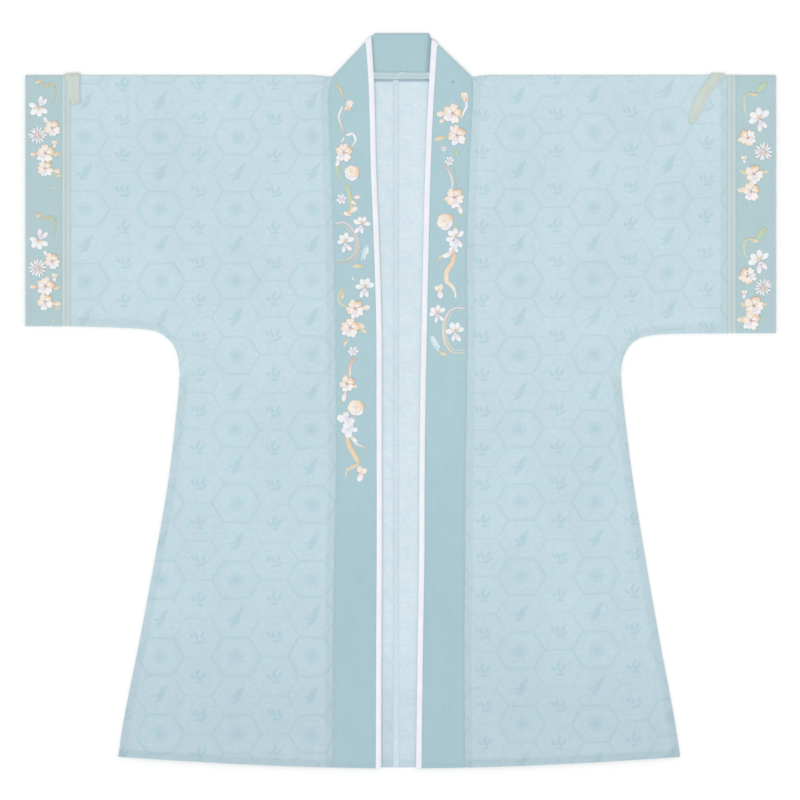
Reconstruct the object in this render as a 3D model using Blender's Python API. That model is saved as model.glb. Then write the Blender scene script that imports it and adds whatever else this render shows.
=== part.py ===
"""Open-front hanfu robe with wide short sleeves, laid flat with its fronts up.

Frame: X across the robe, Y towards the neck, Z up. The origin is on the surface that the robe
lies on, under its middle. Sizes are in millimetres and become metres where a mesh is made.
Left is the side at -X and right the side at +X. Each half is worked out from the middle
outwards, with "out" as the distance from the middle plane, and is then put on its side.
"""
import math
from collections import namedtuple

import bpy

MILLIMETRE = 0.001

# Cloth walls, and the clearance between layers and at seams
BODY_WALL = 1.1
COLLAR_WALL = 1.5
TRIM_WALL = 1.3
PIPING_WALL = 1.3
TAPE_WALL = 1.0
SEAM_GAP = 0.3

# Overall lines of the garment
SHOULDER_Y = 422.5
SLEEVE_END = 487.5
HEM_Y = -478.2
HEM_RISE = 15.2
HEM_RISE_AT = 366.0
HEM_RISE_POWER = 1.75
BACK_HEM_LIFT = 1.2
UNDERARM_Y = 33.0
CENTRE_BACK_X = -3.25
NECK_SEAM_Y = 417.0
COLLAR_TOP_Y = 478.2

# Collar band, and what is sewn to it
BAND_TILT_FROM_Y = 352.0
BAND_RISE_LENGTH = 40.0
NECK_CORNER_SHARE = 0.25
PIPING_WIDTH = 7.0
PIPING_ROUND = 0.3
NECK_TAPE_LOW_Y = 418.0
NECK_TAPE_HIGH_Y = 427.0

# Sleeve tapes where they hook over the shoulder fold
HOOK_END = math.radians(-48.0)
HOOK_REACH = 4.4
HOOK_CENTRE_Z = 2.0

# Soft relief of the upper layer
PUFF_HEIGHT = 0.7
LIFT_MOST = 2.4
LIFT_EDGE = 34.0

# Rows and columns of the sheets
FRONT_LOW_ROWS = 22
FRONT_HIGH_ROWS = 16
BACK_LOW_ROWS = 9
BACK_HIGH_ROWS = 5
FOLD_STEPS = 5
TORSO_COLUMNS = 14
BACK_COLUMNS = 3
SLEEVE_COLUMNS = 14
CUFF_COLUMNS = 2
CUFF_ROWS = 7
BAND_ROWS = 22
BAND_TILT_ROWS = 6
BAND_COLUMNS = 4
NECK_COLUMNS = 6
PIPING_COLUMNS = 3
TIE_ROWS = 8
HOOK_ROWS = 6
TIE_COLUMNS = 2

EdgeRow = namedtuple("EdgeRow", "y out")
UnderRow = namedtuple("UnderRow", "share out y")
BandRow = namedtuple("BandRow", "y seam edge")
FoldRow = namedtuple("FoldRow", "x y angle length width height")
TieRow = namedtuple("TieRow", "share out y width")
Corner = namedtuple("Corner", "out y")
Half = namedtuple("Half", "name sign sleeve_out trim_out side under band neck_low neck_high tie")
BandSection = namedtuple("BandSection", "seam edge zone angle")

# Side seam, from the hem up to the underarm
LEFT_SIDE = (
    EdgeRow(y=-478.0, out=369.0),
    EdgeRow(y=-415.0, out=359.5),
    EdgeRow(y=-311.0, out=338.7),
    EdgeRow(y=-207.0, out=319.2),
    EdgeRow(y=-103.0, out=301.3),
    EdgeRow(y=0.0, out=289.3),
    EdgeRow(y=UNDERARM_Y, out=286.8),
)
RIGHT_SIDE = (
    EdgeRow(y=-478.0, out=365.2),
    EdgeRow(y=-415.0, out=355.6),
    EdgeRow(y=-311.0, out=336.1),
    EdgeRow(y=-207.0, out=317.9),
    EdgeRow(y=-103.0, out=301.4),
    EdgeRow(y=0.0, out=288.6),
    EdgeRow(y=UNDERARM_Y, out=285.8),
)

# Underside of the sleeve, from the underarm out to the trim
LEFT_UNDER = (
    UnderRow(share=0.00, out=286.8, y=UNDERARM_Y),
    UnderRow(share=0.14, out=288.4, y=53.0),
    UnderRow(share=0.28, out=293.6, y=69.5),
    UnderRow(share=0.42, out=301.4, y=79.4),
    UnderRow(share=0.55, out=311.5, y=87.2),
    UnderRow(share=0.66, out=326.0, y=91.9),
    UnderRow(share=0.80, out=360.0, y=94.6),
    UnderRow(share=1.00, out=429.0, y=96.6),
)
RIGHT_UNDER = (
    UnderRow(share=0.00, out=285.8, y=UNDERARM_Y),
    UnderRow(share=0.14, out=287.4, y=48.0),
    UnderRow(share=0.28, out=292.0, y=62.0),
    UnderRow(share=0.42, out=299.0, y=72.5),
    UnderRow(share=0.55, out=308.5, y=79.7),
    UnderRow(share=0.66, out=322.0, y=84.2),
    UnderRow(share=0.80, out=352.0, y=86.8),
    UnderRow(share=1.00, out=424.8, y=87.4),
)

# Collar band: the seam to the front panel, and the free edge
LEFT_BAND = (
    BandRow(y=-480.0, seam=87.7, edge=25.2),
    BandRow(y=-316.0, seam=87.7, edge=24.7),
    BandRow(y=-212.0, seam=86.4, edge=24.1),
    BandRow(y=-109.0, seam=84.0, edge=24.1),
    BandRow(y=-5.0, seam=83.9, edge=24.3),
    BandRow(y=99.0, seam=85.2, edge=24.6),
    BandRow(y=203.0, seam=87.2, edge=27.7),
    BandRow(y=307.0, seam=90.6, edge=31.8),
    BandRow(y=412.0, seam=93.0, edge=34.4),
    BandRow(y=480.0, seam=93.0, edge=34.4),
)
RIGHT_BAND = (
    BandRow(y=-480.0, seam=83.7, edge=20.4),
    BandRow(y=-316.0, seam=82.7, edge=22.5),
    BandRow(y=-212.0, seam=83.9, edge=24.2),
    BandRow(y=-109.0, seam=84.1, edge=24.6),
    BandRow(y=-5.0, seam=86.0, edge=25.7),
    BandRow(y=99.0, seam=87.1, edge=27.7),
    BandRow(y=203.0, seam=86.4, edge=29.9),
    BandRow(y=307.0, seam=88.9, edge=32.2),
    BandRow(y=412.0, seam=92.7, edge=36.4),
    BandRow(y=480.0, seam=92.7, edge=36.4),
)

# Sleeve tapes, from the free end up to the shoulder fold, with their width along X
LEFT_TIE = (
    TieRow(share=0.0, out=422.0, y=384.5, width=10.5),
    TieRow(share=0.3, out=423.5, y=394.0, width=13.4),
    TieRow(share=0.7, out=424.5, y=409.0, width=14.5),
    TieRow(share=1.0, out=426.6, y=420.5, width=19.5),
)
RIGHT_TIE = (
    TieRow(share=0.0, out=379.3, y=360.5, width=9.5),
    TieRow(share=0.3, out=384.4, y=375.6, width=15.0),
    TieRow(share=0.6, out=393.6, y=397.2, width=16.0),
    TieRow(share=0.8, out=402.2, y=409.0, width=17.5),
    TieRow(share=1.0, out=412.0, y=420.5, width=18.5),
)

LEFT = Half(
    name="left",
    sign=-1,
    sleeve_out=429.0,
    trim_out=440.0,
    side=LEFT_SIDE,
    under=LEFT_UNDER,
    band=LEFT_BAND,
    neck_low=Corner(out=92.6, y=418.3),
    neck_high=Corner(out=34.4, y=478.2),
    tie=LEFT_TIE,
)
RIGHT = Half(
    name="right",
    sign=1,
    sleeve_out=424.8,
    trim_out=436.0,
    side=RIGHT_SIDE,
    under=RIGHT_UNDER,
    band=RIGHT_BAND,
    neck_low=Corner(out=92.3, y=418.3),
    neck_high=Corner(out=36.4, y=476.4),
    tie=RIGHT_TIE,
)

# Largest soft folds of the upper layer: middle, direction, half length, half width and height
FOLDS = (
    FoldRow(x=-108.0, y=386.0, angle=72.0, length=34.0, width=13.0, height=0.9),
    FoldRow(x=108.0, y=388.0, angle=104.0, length=30.0, width=13.0, height=1.0),
    FoldRow(x=-312.0, y=255.0, angle=88.0, length=125.0, width=17.0, height=0.9),
    FoldRow(x=250.0, y=268.0, angle=91.0, length=135.0, width=16.0, height=1.0),
    FoldRow(x=-392.0, y=226.0, angle=83.0, length=85.0, width=14.0, height=1.1),
    FoldRow(x=384.0, y=236.0, angle=97.0, length=78.0, width=15.0, height=0.8),
    FoldRow(x=-262.0, y=112.0, angle=14.0, length=70.0, width=14.0, height=1.0),
    FoldRow(x=222.0, y=117.0, angle=172.0, length=72.0, width=14.0, height=0.9),
    FoldRow(x=-252.0, y=48.0, angle=-38.0, length=58.0, width=13.0, height=1.0),
    FoldRow(x=250.0, y=44.0, angle=218.0, length=54.0, width=13.0, height=1.0),
    FoldRow(x=-214.0, y=-150.0, angle=80.0, length=130.0, width=19.0, height=0.9),
    FoldRow(x=226.0, y=-172.0, angle=99.0, length=140.0, width=19.0, height=1.0),
    FoldRow(x=-146.0, y=-330.0, angle=87.0, length=110.0, width=17.0, height=0.9),
    FoldRow(x=150.0, y=-352.0, angle=94.0, length=95.0, width=17.0, height=0.8),
    FoldRow(x=-288.0, y=-345.0, angle=74.0, length=100.0, width=17.0, height=1.1),
    FoldRow(x=292.0, y=-330.0, angle=104.0, length=112.0, width=16.0, height=1.0),
)


def mix(low, high, share):
    """Go from low to high by share."""
    return low + (high - low) * share


def ease(share):
    """Rise softly from 0 to 1."""
    share = min(max(share, 0.0), 1.0)
    return share * share * (3.0 - 2.0 * share)


def read_curve(rows, at):
    """Read a table at a value of its first column, on a smooth curve through its rows."""
    last = len(rows) - 2
    place = 0
    while place < last and rows[place + 1][0] < at:
        place += 1
    low = rows[place]
    high = rows[place + 1]
    before = rows[max(place - 1, 0)]
    after = rows[min(place + 2, last + 1)]
    step = high[0] - low[0]
    share = min(max((at - low[0]) / step, 0.0), 1.0)
    square = share * share
    cube = square * share
    values = []
    for column in range(1, len(low)):
        slope_low = (high[column] - before[column]) / (high[0] - before[0]) * step
        slope_high = (after[column] - low[column]) / (after[0] - low[0]) * step
        values.append(
            low[column] * (2.0 * cube - 3.0 * square + 1.0)
            + slope_low * (cube - 2.0 * square + share)
            + high[column] * (3.0 * square - 2.0 * cube)
            + slope_high * (cube - square)
        )
    return values


def seam_out(half, y):
    """Give where the front panel meets the collar band."""
    return read_curve(half.band, y)[0]


def edge_out(half, y):
    """Give the band's free edge."""
    return read_curve(half.band, y)[1]


def side_out(half, y):
    """Give the side seam, which stands straight above the underarm."""
    return read_curve(half.side, min(y, UNDERARM_Y))[0]


def hem_y(out):
    """Give the hem, which rises towards the side seams."""
    return HEM_Y + HEM_RISE * (abs(out) / HEM_RISE_AT) ** HEM_RISE_POWER


def under_y(half, out):
    """Give the sleeve's underside at a distance from the middle, by halving."""
    share_low = 0.0
    share_high = 1.0
    for _ in range(20):
        share = 0.5 * (share_low + share_high)
        if read_curve(half.under, share)[0] < out:
            share_low = share
        else:
            share_high = share
    return read_curve(half.under, share_low)[1]


def edge_fade(half, out, y):
    """Fall softly to 0 at the collar, side, underarm, sleeve end and shoulder fold."""
    corner = half.under[0]
    fade = ease((out - seam_out(half, y)) / LIFT_EDGE)
    fade *= ease((SHOULDER_Y - y) / LIFT_EDGE)
    fade *= ease((half.sleeve_out - out) / LIFT_EDGE)
    if y <= corner.y:
        fade *= ease((side_out(half, y) - out) / LIFT_EDGE)
    elif out <= corner.out:
        fade *= ease(math.hypot(corner.out - out, y - corner.y) / LIFT_EDGE)
    else:
        fade *= ease((y - under_y(half, out)) / LIFT_EDGE)
    return fade


def fold_height(x, y):
    """Add up the soft folds at a point of the upper layer."""
    height = 0.0
    for fold in FOLDS:
        turn = math.radians(fold.angle)
        along = (x - fold.x) * math.cos(turn) + (y - fold.y) * math.sin(turn)
        across = (y - fold.y) * math.cos(turn) - (x - fold.x) * math.sin(turn)
        height += fold.height * math.exp(-(along / fold.length) ** 4 - (across / fold.width) ** 2)
    return height


def front_top(half, out, y):
    """Give the height of the upper layer's top, where it lies on the lower one."""
    lift = min(PUFF_HEIGHT + fold_height(half.sign * out, y), LIFT_MOST)
    return 2.0 * BODY_WALL + SEAM_GAP + lift * edge_fade(half, out, y)


def closed_wall(name, cells, place, material):
    """Make one closed wall: place gives each key's outer and inner point.

    Each cell names four keys that turn left when they are seen from outside.
    """
    index = {}
    points = []
    for cell in cells:
        for key in cell:
            if key not in index:
                index[key] = len(points)
                for point in place(key):
                    points.append([value * MILLIMETRE for value in point])
    faces = []
    borders = set()
    for cell in cells:
        faces.append([index[key] for key in cell])
        faces.append([index[key] + 1 for key in reversed(cell)])
        for start, end in zip(cell, cell[1:] + cell[:1]):
            borders.add((start, end))
    for start, end in sorted(borders):
        if (end, start) not in borders:
            faces.append([index[end], index[start], index[start] + 1, index[end] + 1])
    mesh = bpy.data.meshes.new(name)
    mesh.from_pydata(points, [], faces)
    mesh.validate()
    mesh.materials.append(material)
    mesh.shade_smooth()
    mesh.set_sharp_from_angle(angle=math.radians(40.0))
    piece = bpy.data.objects.new(name, mesh)
    bpy.context.collection.objects.link(piece)
    return piece


def grid_cells(rows, columns, mirrored=False, closed=False):
    """List the cells of a sheet of points, which closed joins from its last row to its first."""
    cells = []
    for row in range(rows):
        above = 0 if closed and row == rows - 1 else row + 1
        for column in range(columns):
            cell = ((row, column), (row, column + 1), (above, column + 1), (above, column))
            cells.append(cell[::-1] if mirrored else cell)
    return cells


def fold_point(wall, share, edge_y):
    """Give a layer's outer and inner point where it folds back on itself, in y and z.

    Share goes round the fold from the upper layer to the lower one, and the fold reaches edge_y.
    """
    small = 0.5 * SEAM_GAP
    large = wall + small
    angle = math.pi * (0.5 - share)
    outer = (edge_y - large + large * math.cos(angle), large + large * math.sin(angle))
    inner = (edge_y - large + small * math.cos(angle), large + small * math.sin(angle))
    return outer, inner


def body_rows():
    """List the rows of a body half from the front hem, over the shoulder fold, to the back hem."""
    rows = [("front_low", row / FRONT_LOW_ROWS) for row in range(FRONT_LOW_ROWS)]
    rows += [("front_high", row / FRONT_HIGH_ROWS) for row in range(FRONT_HIGH_ROWS)]
    rows += [("front_fold", 1.0)]
    rows += [("fold", row / FOLD_STEPS) for row in range(1, FOLD_STEPS)]
    rows += [("back_fold", 1.0)]
    rows += [("back_high", 1.0 - row / BACK_HIGH_ROWS) for row in range(BACK_HIGH_ROWS + 1)]
    rows += [("back_low", 1.0 - row / BACK_LOW_ROWS) for row in range(1, BACK_LOW_ROWS + 1)]
    return rows


def body_across(half, zone, column, y):
    """Give a torso column's distance from the middle at a height of the robe."""
    seam = seam_out(half, y if zone.startswith("front") else SHOULDER_Y)
    if column < 0:
        centre_back = CENTRE_BACK_X * half.sign + 0.5 * SEAM_GAP
        return mix(centre_back, seam, 1.0 + column / BACK_COLUMNS)
    return mix(seam, side_out(half, y), column / TORSO_COLUMNS)


def body_place(half, zone, share, column):
    """Give a body point's distance from the middle and its y."""
    fold_y = SHOULDER_Y - BODY_WALL - 0.5 * SEAM_GAP
    top_y = NECK_SEAM_Y - SEAM_GAP if zone == "back_high" else fold_y
    if zone.endswith("low"):
        y = mix(HEM_Y, UNDERARM_Y, share)
        for _ in range(4):
            out = body_across(half, zone, column, y)
            shorter = 0.0 if zone == "front_low" else BACK_HEM_LIFT * ease(1.0 - out / HEM_RISE_AT)
            y = mix(hem_y(out) + shorter, UNDERARM_Y, share)
        return out, y
    if column > TORSO_COLUMNS:
        out, low_y = read_curve(half.under, (column - TORSO_COLUMNS) / SLEEVE_COLUMNS)
        return out, mix(low_y, top_y, share)
    y = mix(UNDERARM_Y, top_y, share) if zone.endswith("high") else fold_y
    return body_across(half, zone, column, y), y


def make_body(half, material):
    """Make a body half: front, back and sleeve in one piece, folded at the shoulder."""
    rows = body_rows()
    zones = [zone for zone, _ in rows]
    sleeve_first = zones.index("front_high")
    sleeve_last = zones.index("back_low") - 1
    neck_row = zones.index("back_high")

    def place(key):
        zone, share = rows[key[0]]
        out, y = body_place(half, zone, 1.0 if zone == "fold" else share, key[1])
        x = half.sign * out
        if zone == "fold":
            return [(x, *point) for point in fold_point(BODY_WALL, share, SHOULDER_Y)]
        if zone.startswith("front"):
            top_z = front_top(half, out, y)
            return (x, y, top_z), (x, y, top_z - BODY_WALL)
        return (x, y, 0.0), (x, y, BODY_WALL)

    cells = []
    for row in range(len(rows) - 1):
        first = -BACK_COLUMNS if row >= neck_row else 0
        has_sleeve = sleeve_first <= row < sleeve_last
        last = TORSO_COLUMNS + SLEEVE_COLUMNS if has_sleeve else TORSO_COLUMNS
        for column in range(first, last):
            cell = ((row, column), (row, column + 1), (row + 1, column + 1), (row + 1, column))
            cells.append(cell if half.sign > 0 else cell[::-1])
    return closed_wall("body_" + half.name, cells, place, material)


def make_sleeve_ring(name, half, outs, wall, material):
    """Make a flattened tube round the sleeve's end, with a column at each distance in outs."""
    ring = [("front", row / CUFF_ROWS) for row in range(CUFF_ROWS + 1)]
    ring += [("top", row / FOLD_STEPS) for row in range(1, FOLD_STEPS)]
    ring += [("back", 1.0 - row / CUFF_ROWS) for row in range(CUFF_ROWS + 1)]
    ring += [("bottom", row / FOLD_STEPS) for row in range(1, FOLD_STEPS)]
    under = half.under[-1].y
    radius = wall + 0.5 * SEAM_GAP

    def place(key):
        zone, share = ring[key[0]]
        x = half.sign * outs[key[1]]
        y = mix(under + radius, SHOULDER_Y - radius, share)
        if zone == "front":
            return (x, y, 2.0 * radius), (x, y, 2.0 * radius - wall)
        if zone == "back":
            return (x, y, 0.0), (x, y, wall)
        turned = fold_point(wall, share, SHOULDER_Y)
        if zone == "top":
            return [(x, point_y, point_z) for point_y, point_z in turned]
        return [(x, SHOULDER_Y + under - point_y, 2.0 * radius - point_z) for point_y, point_z in turned]

    cells = grid_cells(len(ring), len(outs) - 1, mirrored=half.sign < 0, closed=True)
    return closed_wall(name, cells, place, material)


def make_cuff(half, trim_material, cuff_material):
    """Make the woven trim and the wide cuff beyond it."""
    trim_outs = (half.sleeve_out + SEAM_GAP, half.trim_out - 0.5 * SEAM_GAP)
    make_sleeve_ring("cuff_trim_" + half.name, half, trim_outs, TRIM_WALL, trim_material)
    start = half.trim_out + 0.5 * SEAM_GAP
    cuff_outs = [mix(start, SLEEVE_END, column / CUFF_COLUMNS) for column in range(CUFF_COLUMNS + 1)]
    make_sleeve_ring("cuff_" + half.name, half, cuff_outs, BODY_WALL, cuff_material)


def band_low_z(y):
    """Give the underside of the front band, which rises to lie on the back-neck part."""
    rise = ease((y - BAND_TILT_FROM_Y) / BAND_RISE_LENGTH)
    return mix(BODY_WALL + SEAM_GAP, COLLAR_WALL + SEAM_GAP, rise)


def neck_fold_normal(half):
    """Give the direction across the diagonal neck fold, outwards, in out and y."""
    run = half.neck_low.out - half.neck_high.out
    rise = half.neck_high.y - half.neck_low.y
    length = math.hypot(run, rise)
    return rise / length, run / length


def band_sections(half):
    """List the band's sections on one side, each from the seam point to the edge point.

    They run from the hem up the front, over the diagonal neck fold, to the middle of the neck.
    """
    radius = COLLAR_WALL + 0.5 * SEAM_GAP
    normal_out, normal_y = neck_fold_normal(half)
    seam_end = Corner(half.neck_low.out - radius * normal_out, half.neck_low.y - radius * normal_y)
    edge_end = Corner(half.neck_high.out, half.neck_high.y - radius / normal_y)
    sections = []
    for row in range(BAND_ROWS + 1):
        y = mix(HEM_Y, BAND_TILT_FROM_Y, row / BAND_ROWS)
        outs = (seam_out(half, y) - SEAM_GAP, edge_out(half, y))
        seam, edge = [Corner(out, max(y, hem_y(out))) for out in outs]
        sections.append(BandSection(seam, edge, "front", 0.0))
    for row in range(1, BAND_TILT_ROWS + 1):
        share = row / BAND_TILT_ROWS
        seam_y = mix(BAND_TILT_FROM_Y, seam_end.y, share)
        edge_y = mix(BAND_TILT_FROM_Y, edge_end.y, share)
        seam_at = mix(seam_out(half, seam_y) - SEAM_GAP, seam_end.out, ease(3.0 * share - 2.0))
        seam = Corner(seam_at, seam_y)
        edge = Corner(edge_out(half, edge_y), edge_y)
        sections.append(BandSection(seam, edge, "front", 0.0))
    for step in range(1, FOLD_STEPS):
        sections.append(BandSection(seam_end, edge_end, "fold", math.pi * (0.5 - step / FOLD_STEPS)))
    for column in range(NECK_COLUMNS + 1):
        share = column / NECK_COLUMNS
        past_corner = ease(share / NECK_CORNER_SHARE)
        seam = Corner(mix(seam_end.out, 0.0, share), mix(seam_end.y, NECK_SEAM_Y, past_corner))
        edge = Corner(mix(edge_end.out, 0.0, share), mix(edge_end.y, COLLAR_TOP_Y, past_corner))
        sections.append(BandSection(seam, edge, "neck", 0.0))
    return sections


def make_collar(material):
    """Make the collar band in one piece, turned over at both sides of the neck."""
    stations = [(LEFT, section) for section in band_sections(LEFT)]
    stations += [(RIGHT, section) for section in band_sections(RIGHT)[-2::-1]]
    small = 0.5 * SEAM_GAP
    large = COLLAR_WALL + small

    def place(key):
        half, section = stations[key[0]]
        share = key[1] / BAND_COLUMNS
        out = mix(section.seam.out, section.edge.out, share)
        y = mix(section.seam.y, section.edge.y, share)
        x = half.sign * out
        if section.zone == "front":
            low_z = band_low_z(y)
            return (x, y, low_z + COLLAR_WALL), (x, y, low_z)
        if section.zone == "neck":
            return (x, y, 0.0), (x, y, COLLAR_WALL)
        normal_out, normal_y = neck_fold_normal(half)
        pair = []
        for radius in (large, small):
            reach = radius * math.cos(section.angle)
            turned_x = half.sign * (out + reach * normal_out)
            pair.append((turned_x, y + reach * normal_y, large + radius * math.sin(section.angle)))
        return pair

    return closed_wall("collar", grid_cells(len(stations) - 1, BAND_COLUMNS), place, material)


def make_piping(half, material):
    """Make the piping that lies on the band's free edge, up to the neck fold."""
    sections = [section for section in band_sections(half) if section.zone == "front"]

    def place(key):
        seam, edge = sections[key[0]][:2]
        share = 1.0 - PIPING_WIDTH / (seam.out - edge.out) * key[1] / PIPING_COLUMNS
        x = half.sign * mix(seam.out, edge.out, share)
        y = mix(seam.y, edge.y, share)
        low_z = band_low_z(y) + COLLAR_WALL + SEAM_GAP
        rounded = PIPING_ROUND if key[1] in (0, PIPING_COLUMNS) else 0.0
        return (x, y, low_z + PIPING_WALL - rounded), (x, y, low_z)

    cells = grid_cells(len(sections) - 1, PIPING_COLUMNS, mirrored=half.sign < 0)
    return closed_wall("piping_" + half.name, cells, place, material)


def make_neck_tape(material):
    """Make the tape over the back-neck seam, from one band to the other."""
    tape_middle = 0.5 * (NECK_TAPE_LOW_Y + NECK_TAPE_HIGH_Y)
    start = SEAM_GAP - edge_out(LEFT, tape_middle)
    end = edge_out(RIGHT, tape_middle) - SEAM_GAP
    low_z = COLLAR_WALL + SEAM_GAP

    def place(key):
        x = mix(start, end, key[1] / NECK_COLUMNS)
        y = (NECK_TAPE_LOW_Y, NECK_TAPE_HIGH_Y)[key[0]]
        return (x, y, low_z + TAPE_WALL), (x, y, low_z)

    return closed_wall("neck_tape", grid_cells(1, NECK_COLUMNS), place, material)


def make_tie(half, material):
    """Make a sleeve tape that lies on the front and hooks over the shoulder fold."""
    lie_on = 2.0 * TRIM_WALL + SEAM_GAP
    middle = SEAM_GAP + 0.5 * TAPE_WALL
    hook_height = lie_on + middle - HOOK_CENTRE_Z

    def place(key):
        out, y, width = read_curve(half.tie, key[0] / TIE_ROWS)
        z = max(front_top(half, out, y), lie_on) + middle
        normal_y = 0.0
        normal_z = 1.0
        if key[0] > TIE_ROWS:
            turn = mix(0.5 * math.pi, HOOK_END, (key[0] - TIE_ROWS) / HOOK_ROWS)
            y += HOOK_REACH * math.cos(turn)
            z = HOOK_CENTRE_Z + hook_height * math.sin(turn)
            normal_y = hook_height * math.cos(turn)
            normal_z = HOOK_REACH * math.sin(turn)
        x = half.sign * (out + width * (key[1] / TIE_COLUMNS - 0.5))
        half_wall = 0.5 * TAPE_WALL / math.hypot(normal_y, normal_z)
        outer = (x, y + half_wall * normal_y, z + half_wall * normal_z)
        inner = (x, y - half_wall * normal_y, z - half_wall * normal_z)
        return outer, inner

    cells = grid_cells(TIE_ROWS + HOOK_ROWS, TIE_COLUMNS, mirrored=half.sign < 0)
    return closed_wall("tie_" + half.name, cells, place, material)


def cloth_material(name, display_color, roughness):
    """Make a plain cloth material from a display colour of 0 to 255."""
    material = bpy.data.materials.new(name)
    material.use_nodes = True
    shader = material.node_tree.nodes["Principled BSDF"]
    linear = [(value / 255.0) ** 2.2 for value in display_color]
    shader.inputs["Base Color"].default_value = (*linear, 1.0)
    shader.inputs["Roughness"].default_value = roughness
    shader.inputs["Metallic"].default_value = 0.0
    material.diffuse_color = (*linear, 1.0)
    return material


def build():
    """Clear the scene and make every piece of the robe."""
    for old in list(bpy.data.objects):
        bpy.data.objects.remove(old)
    body_cloth = cloth_material("sheer_jacquard", (196, 218, 226), 0.62)
    collar_cloth = cloth_material("collar_cloth", (172, 200, 208), 0.55)
    cuff_cloth = cloth_material("cuff_cloth", (181, 205, 208), 0.55)
    piping_cloth = cloth_material("piping_cloth", (246, 245, 250), 0.50)
    woven_tape = cloth_material("woven_tape", (203, 216, 211), 0.65)
    for half in (LEFT, RIGHT):
        make_body(half, body_cloth)
        make_cuff(half, woven_tape, cuff_cloth)
        make_piping(half, piping_cloth)
        make_tie(half, woven_tape)
    make_collar(collar_cloth)
    make_neck_tape(woven_tape)


build()
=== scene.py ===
"""Looks of the open-front hanfu robe, laid flat: thin cloth, woven figure, embroidery and sewing.

Frame: X across the robe, Y towards the neck, Z up, with the surface it lies on at 0. Sizes are in
millimetres and become metres where a mesh or a material is made. Each half is worked out from the
middle outwards, with "out" as the distance from the middle plane.
"""
import math
import random
from collections import namedtuple

import bmesh
import bpy
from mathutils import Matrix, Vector, noise


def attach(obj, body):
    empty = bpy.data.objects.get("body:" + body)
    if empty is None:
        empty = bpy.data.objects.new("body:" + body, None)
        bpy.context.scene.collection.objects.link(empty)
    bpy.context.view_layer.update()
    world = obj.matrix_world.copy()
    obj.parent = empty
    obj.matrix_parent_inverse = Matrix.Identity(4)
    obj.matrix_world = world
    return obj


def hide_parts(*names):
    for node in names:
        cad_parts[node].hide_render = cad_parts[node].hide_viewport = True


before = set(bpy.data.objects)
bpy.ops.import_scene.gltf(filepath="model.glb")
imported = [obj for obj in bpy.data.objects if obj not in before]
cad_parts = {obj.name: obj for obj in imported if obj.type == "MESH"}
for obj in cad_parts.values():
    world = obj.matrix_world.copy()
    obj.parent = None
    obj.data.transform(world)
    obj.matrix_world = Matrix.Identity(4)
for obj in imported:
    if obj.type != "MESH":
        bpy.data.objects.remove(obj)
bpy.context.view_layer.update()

MILLIMETRE = 0.001
BODY = "root"

# Cloth thickness, and the heights of the layers that the solids set
BODY_WALL = 0.6
BAND_WALL = 1.2
CUFF_WALL = 0.7
TRIM_WALL = 0.45
TAPE_WALL = 0.5
LAYER_TOP = 2.5
TRIM_TOP = 2.9
BAND_TOP = 2.9
BAND_TOP_AT_NECK = 3.3
NECK_BAND_TOP = 1.5
BUTT_GAP = 0.04
LEAST_CUT = 10.0

# Overall lines of the garment
SHOULDER_Y = 422.5
SLEEVE_END = 487.5
HEM_Y = -478.2
HEM_RISE = 15.2
HEM_RISE_AT = 366.0
HEM_RISE_POWER = 1.75
BACK_HEM_LIFT = 1.2
UNDERARM_Y = 33.0
CENTRE_BACK_X = -3.25
NECK_SEAM_Y = 417.0
COLLAR_TOP_Y = 477.0
BAND_TILT_FROM_Y = 352.0
BAND_RISE_LENGTH = 40.0
NECK_DIP = 2.2
NECK_DIP_LENGTH = 26.0
NECK_CORNER_LENGTH = 4.4
NECK_FAN = 0.36
PIPING_WIDTH = 7.0
BAND_CUT_WIDTH = 59.0
TIE_CUT_WIDTH = 16.0
TIE_HOOK_LENGTH = 11.0
NECK_TAPE_LOW_Y = 418.0
NECK_TAPE_HIGH_Y = 427.0
NECK_TAPE_RIBS = (0.20, 0.66)
TRIM_RIBS = (0.24, 0.80)
HOOK_END = math.radians(-48.0)
HOOK_REACH = 4.4
HOOK_CENTRE_Z = 2.0

# Soft relief of the upper layer
PUFF_HEIGHT = 0.7
LIFT_MOST = 2.4
LIFT_EDGE = 34.0
RIPPLE_HEIGHT = 0.16
RIPPLE_SIZE = 27.0
SIDE_ROLL = 3.0

# Turned-in cloth that shows through, and the hems that stand a little proud
SEAM_ALLOWANCE = 10.0
SLEEVE_ALLOWANCE = 8.6
HEM_DEPTH = 9.0
CUFF_HEM_DEPTH = 6.5
HEM_STEP = 0.22
STEP_WIDTH = 1.0
CENTRE_ALLOWANCE = 7.4

# Width and length of the cut of each body half in millimetres: front, sleeve and back in one piece
BODY_CUT = {"left": (426.0, 1800.0), "right": (428.0, 1800.0)}

# Embroidery silk, the stitches of its stems in degrees and millimetres, and how much petals differ
SILK_WIDTH = 1.15
SILK_HEIGHT = 0.62
CURVE_STEPS = 24
STEM_SPACING = 0.85
STEM_LIFT = 0.06
STEM_SLANT = 38.0
LAYER_STEP = 0.05
SIZE_SPREAD = 0.20
TURN_SPREAD = 11.0
BEND_SPREAD = 16.0

# Sewing thread
SEWN_WIDTH = 0.42
SEWN_HEIGHT = 0.34

# Stage: metres for the floor and the camera's height, millimetres for its aim and its view
FLOOR_SIZE = 8.0
FLOOR_DROP = 0.0002
FLOOR_COLOUR = (0.975, 0.975, 0.975, 1.0)
WORLD_STRENGTH = 0.86
KEY_STRENGTH = 0.75
KEY_ROTATION = (math.radians(38.0), math.radians(-22.0), 0.0)
KEY_SPREAD = math.radians(25.0)
LIGHT_LEVEL = 1.055
CAMERA_HEIGHT = 12.0
CAMERA_X = -0.65
CAMERA_Y = 0.65
VIEW_WIDTH = 1040.0
SENSOR_WIDTH = 36.0

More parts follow.
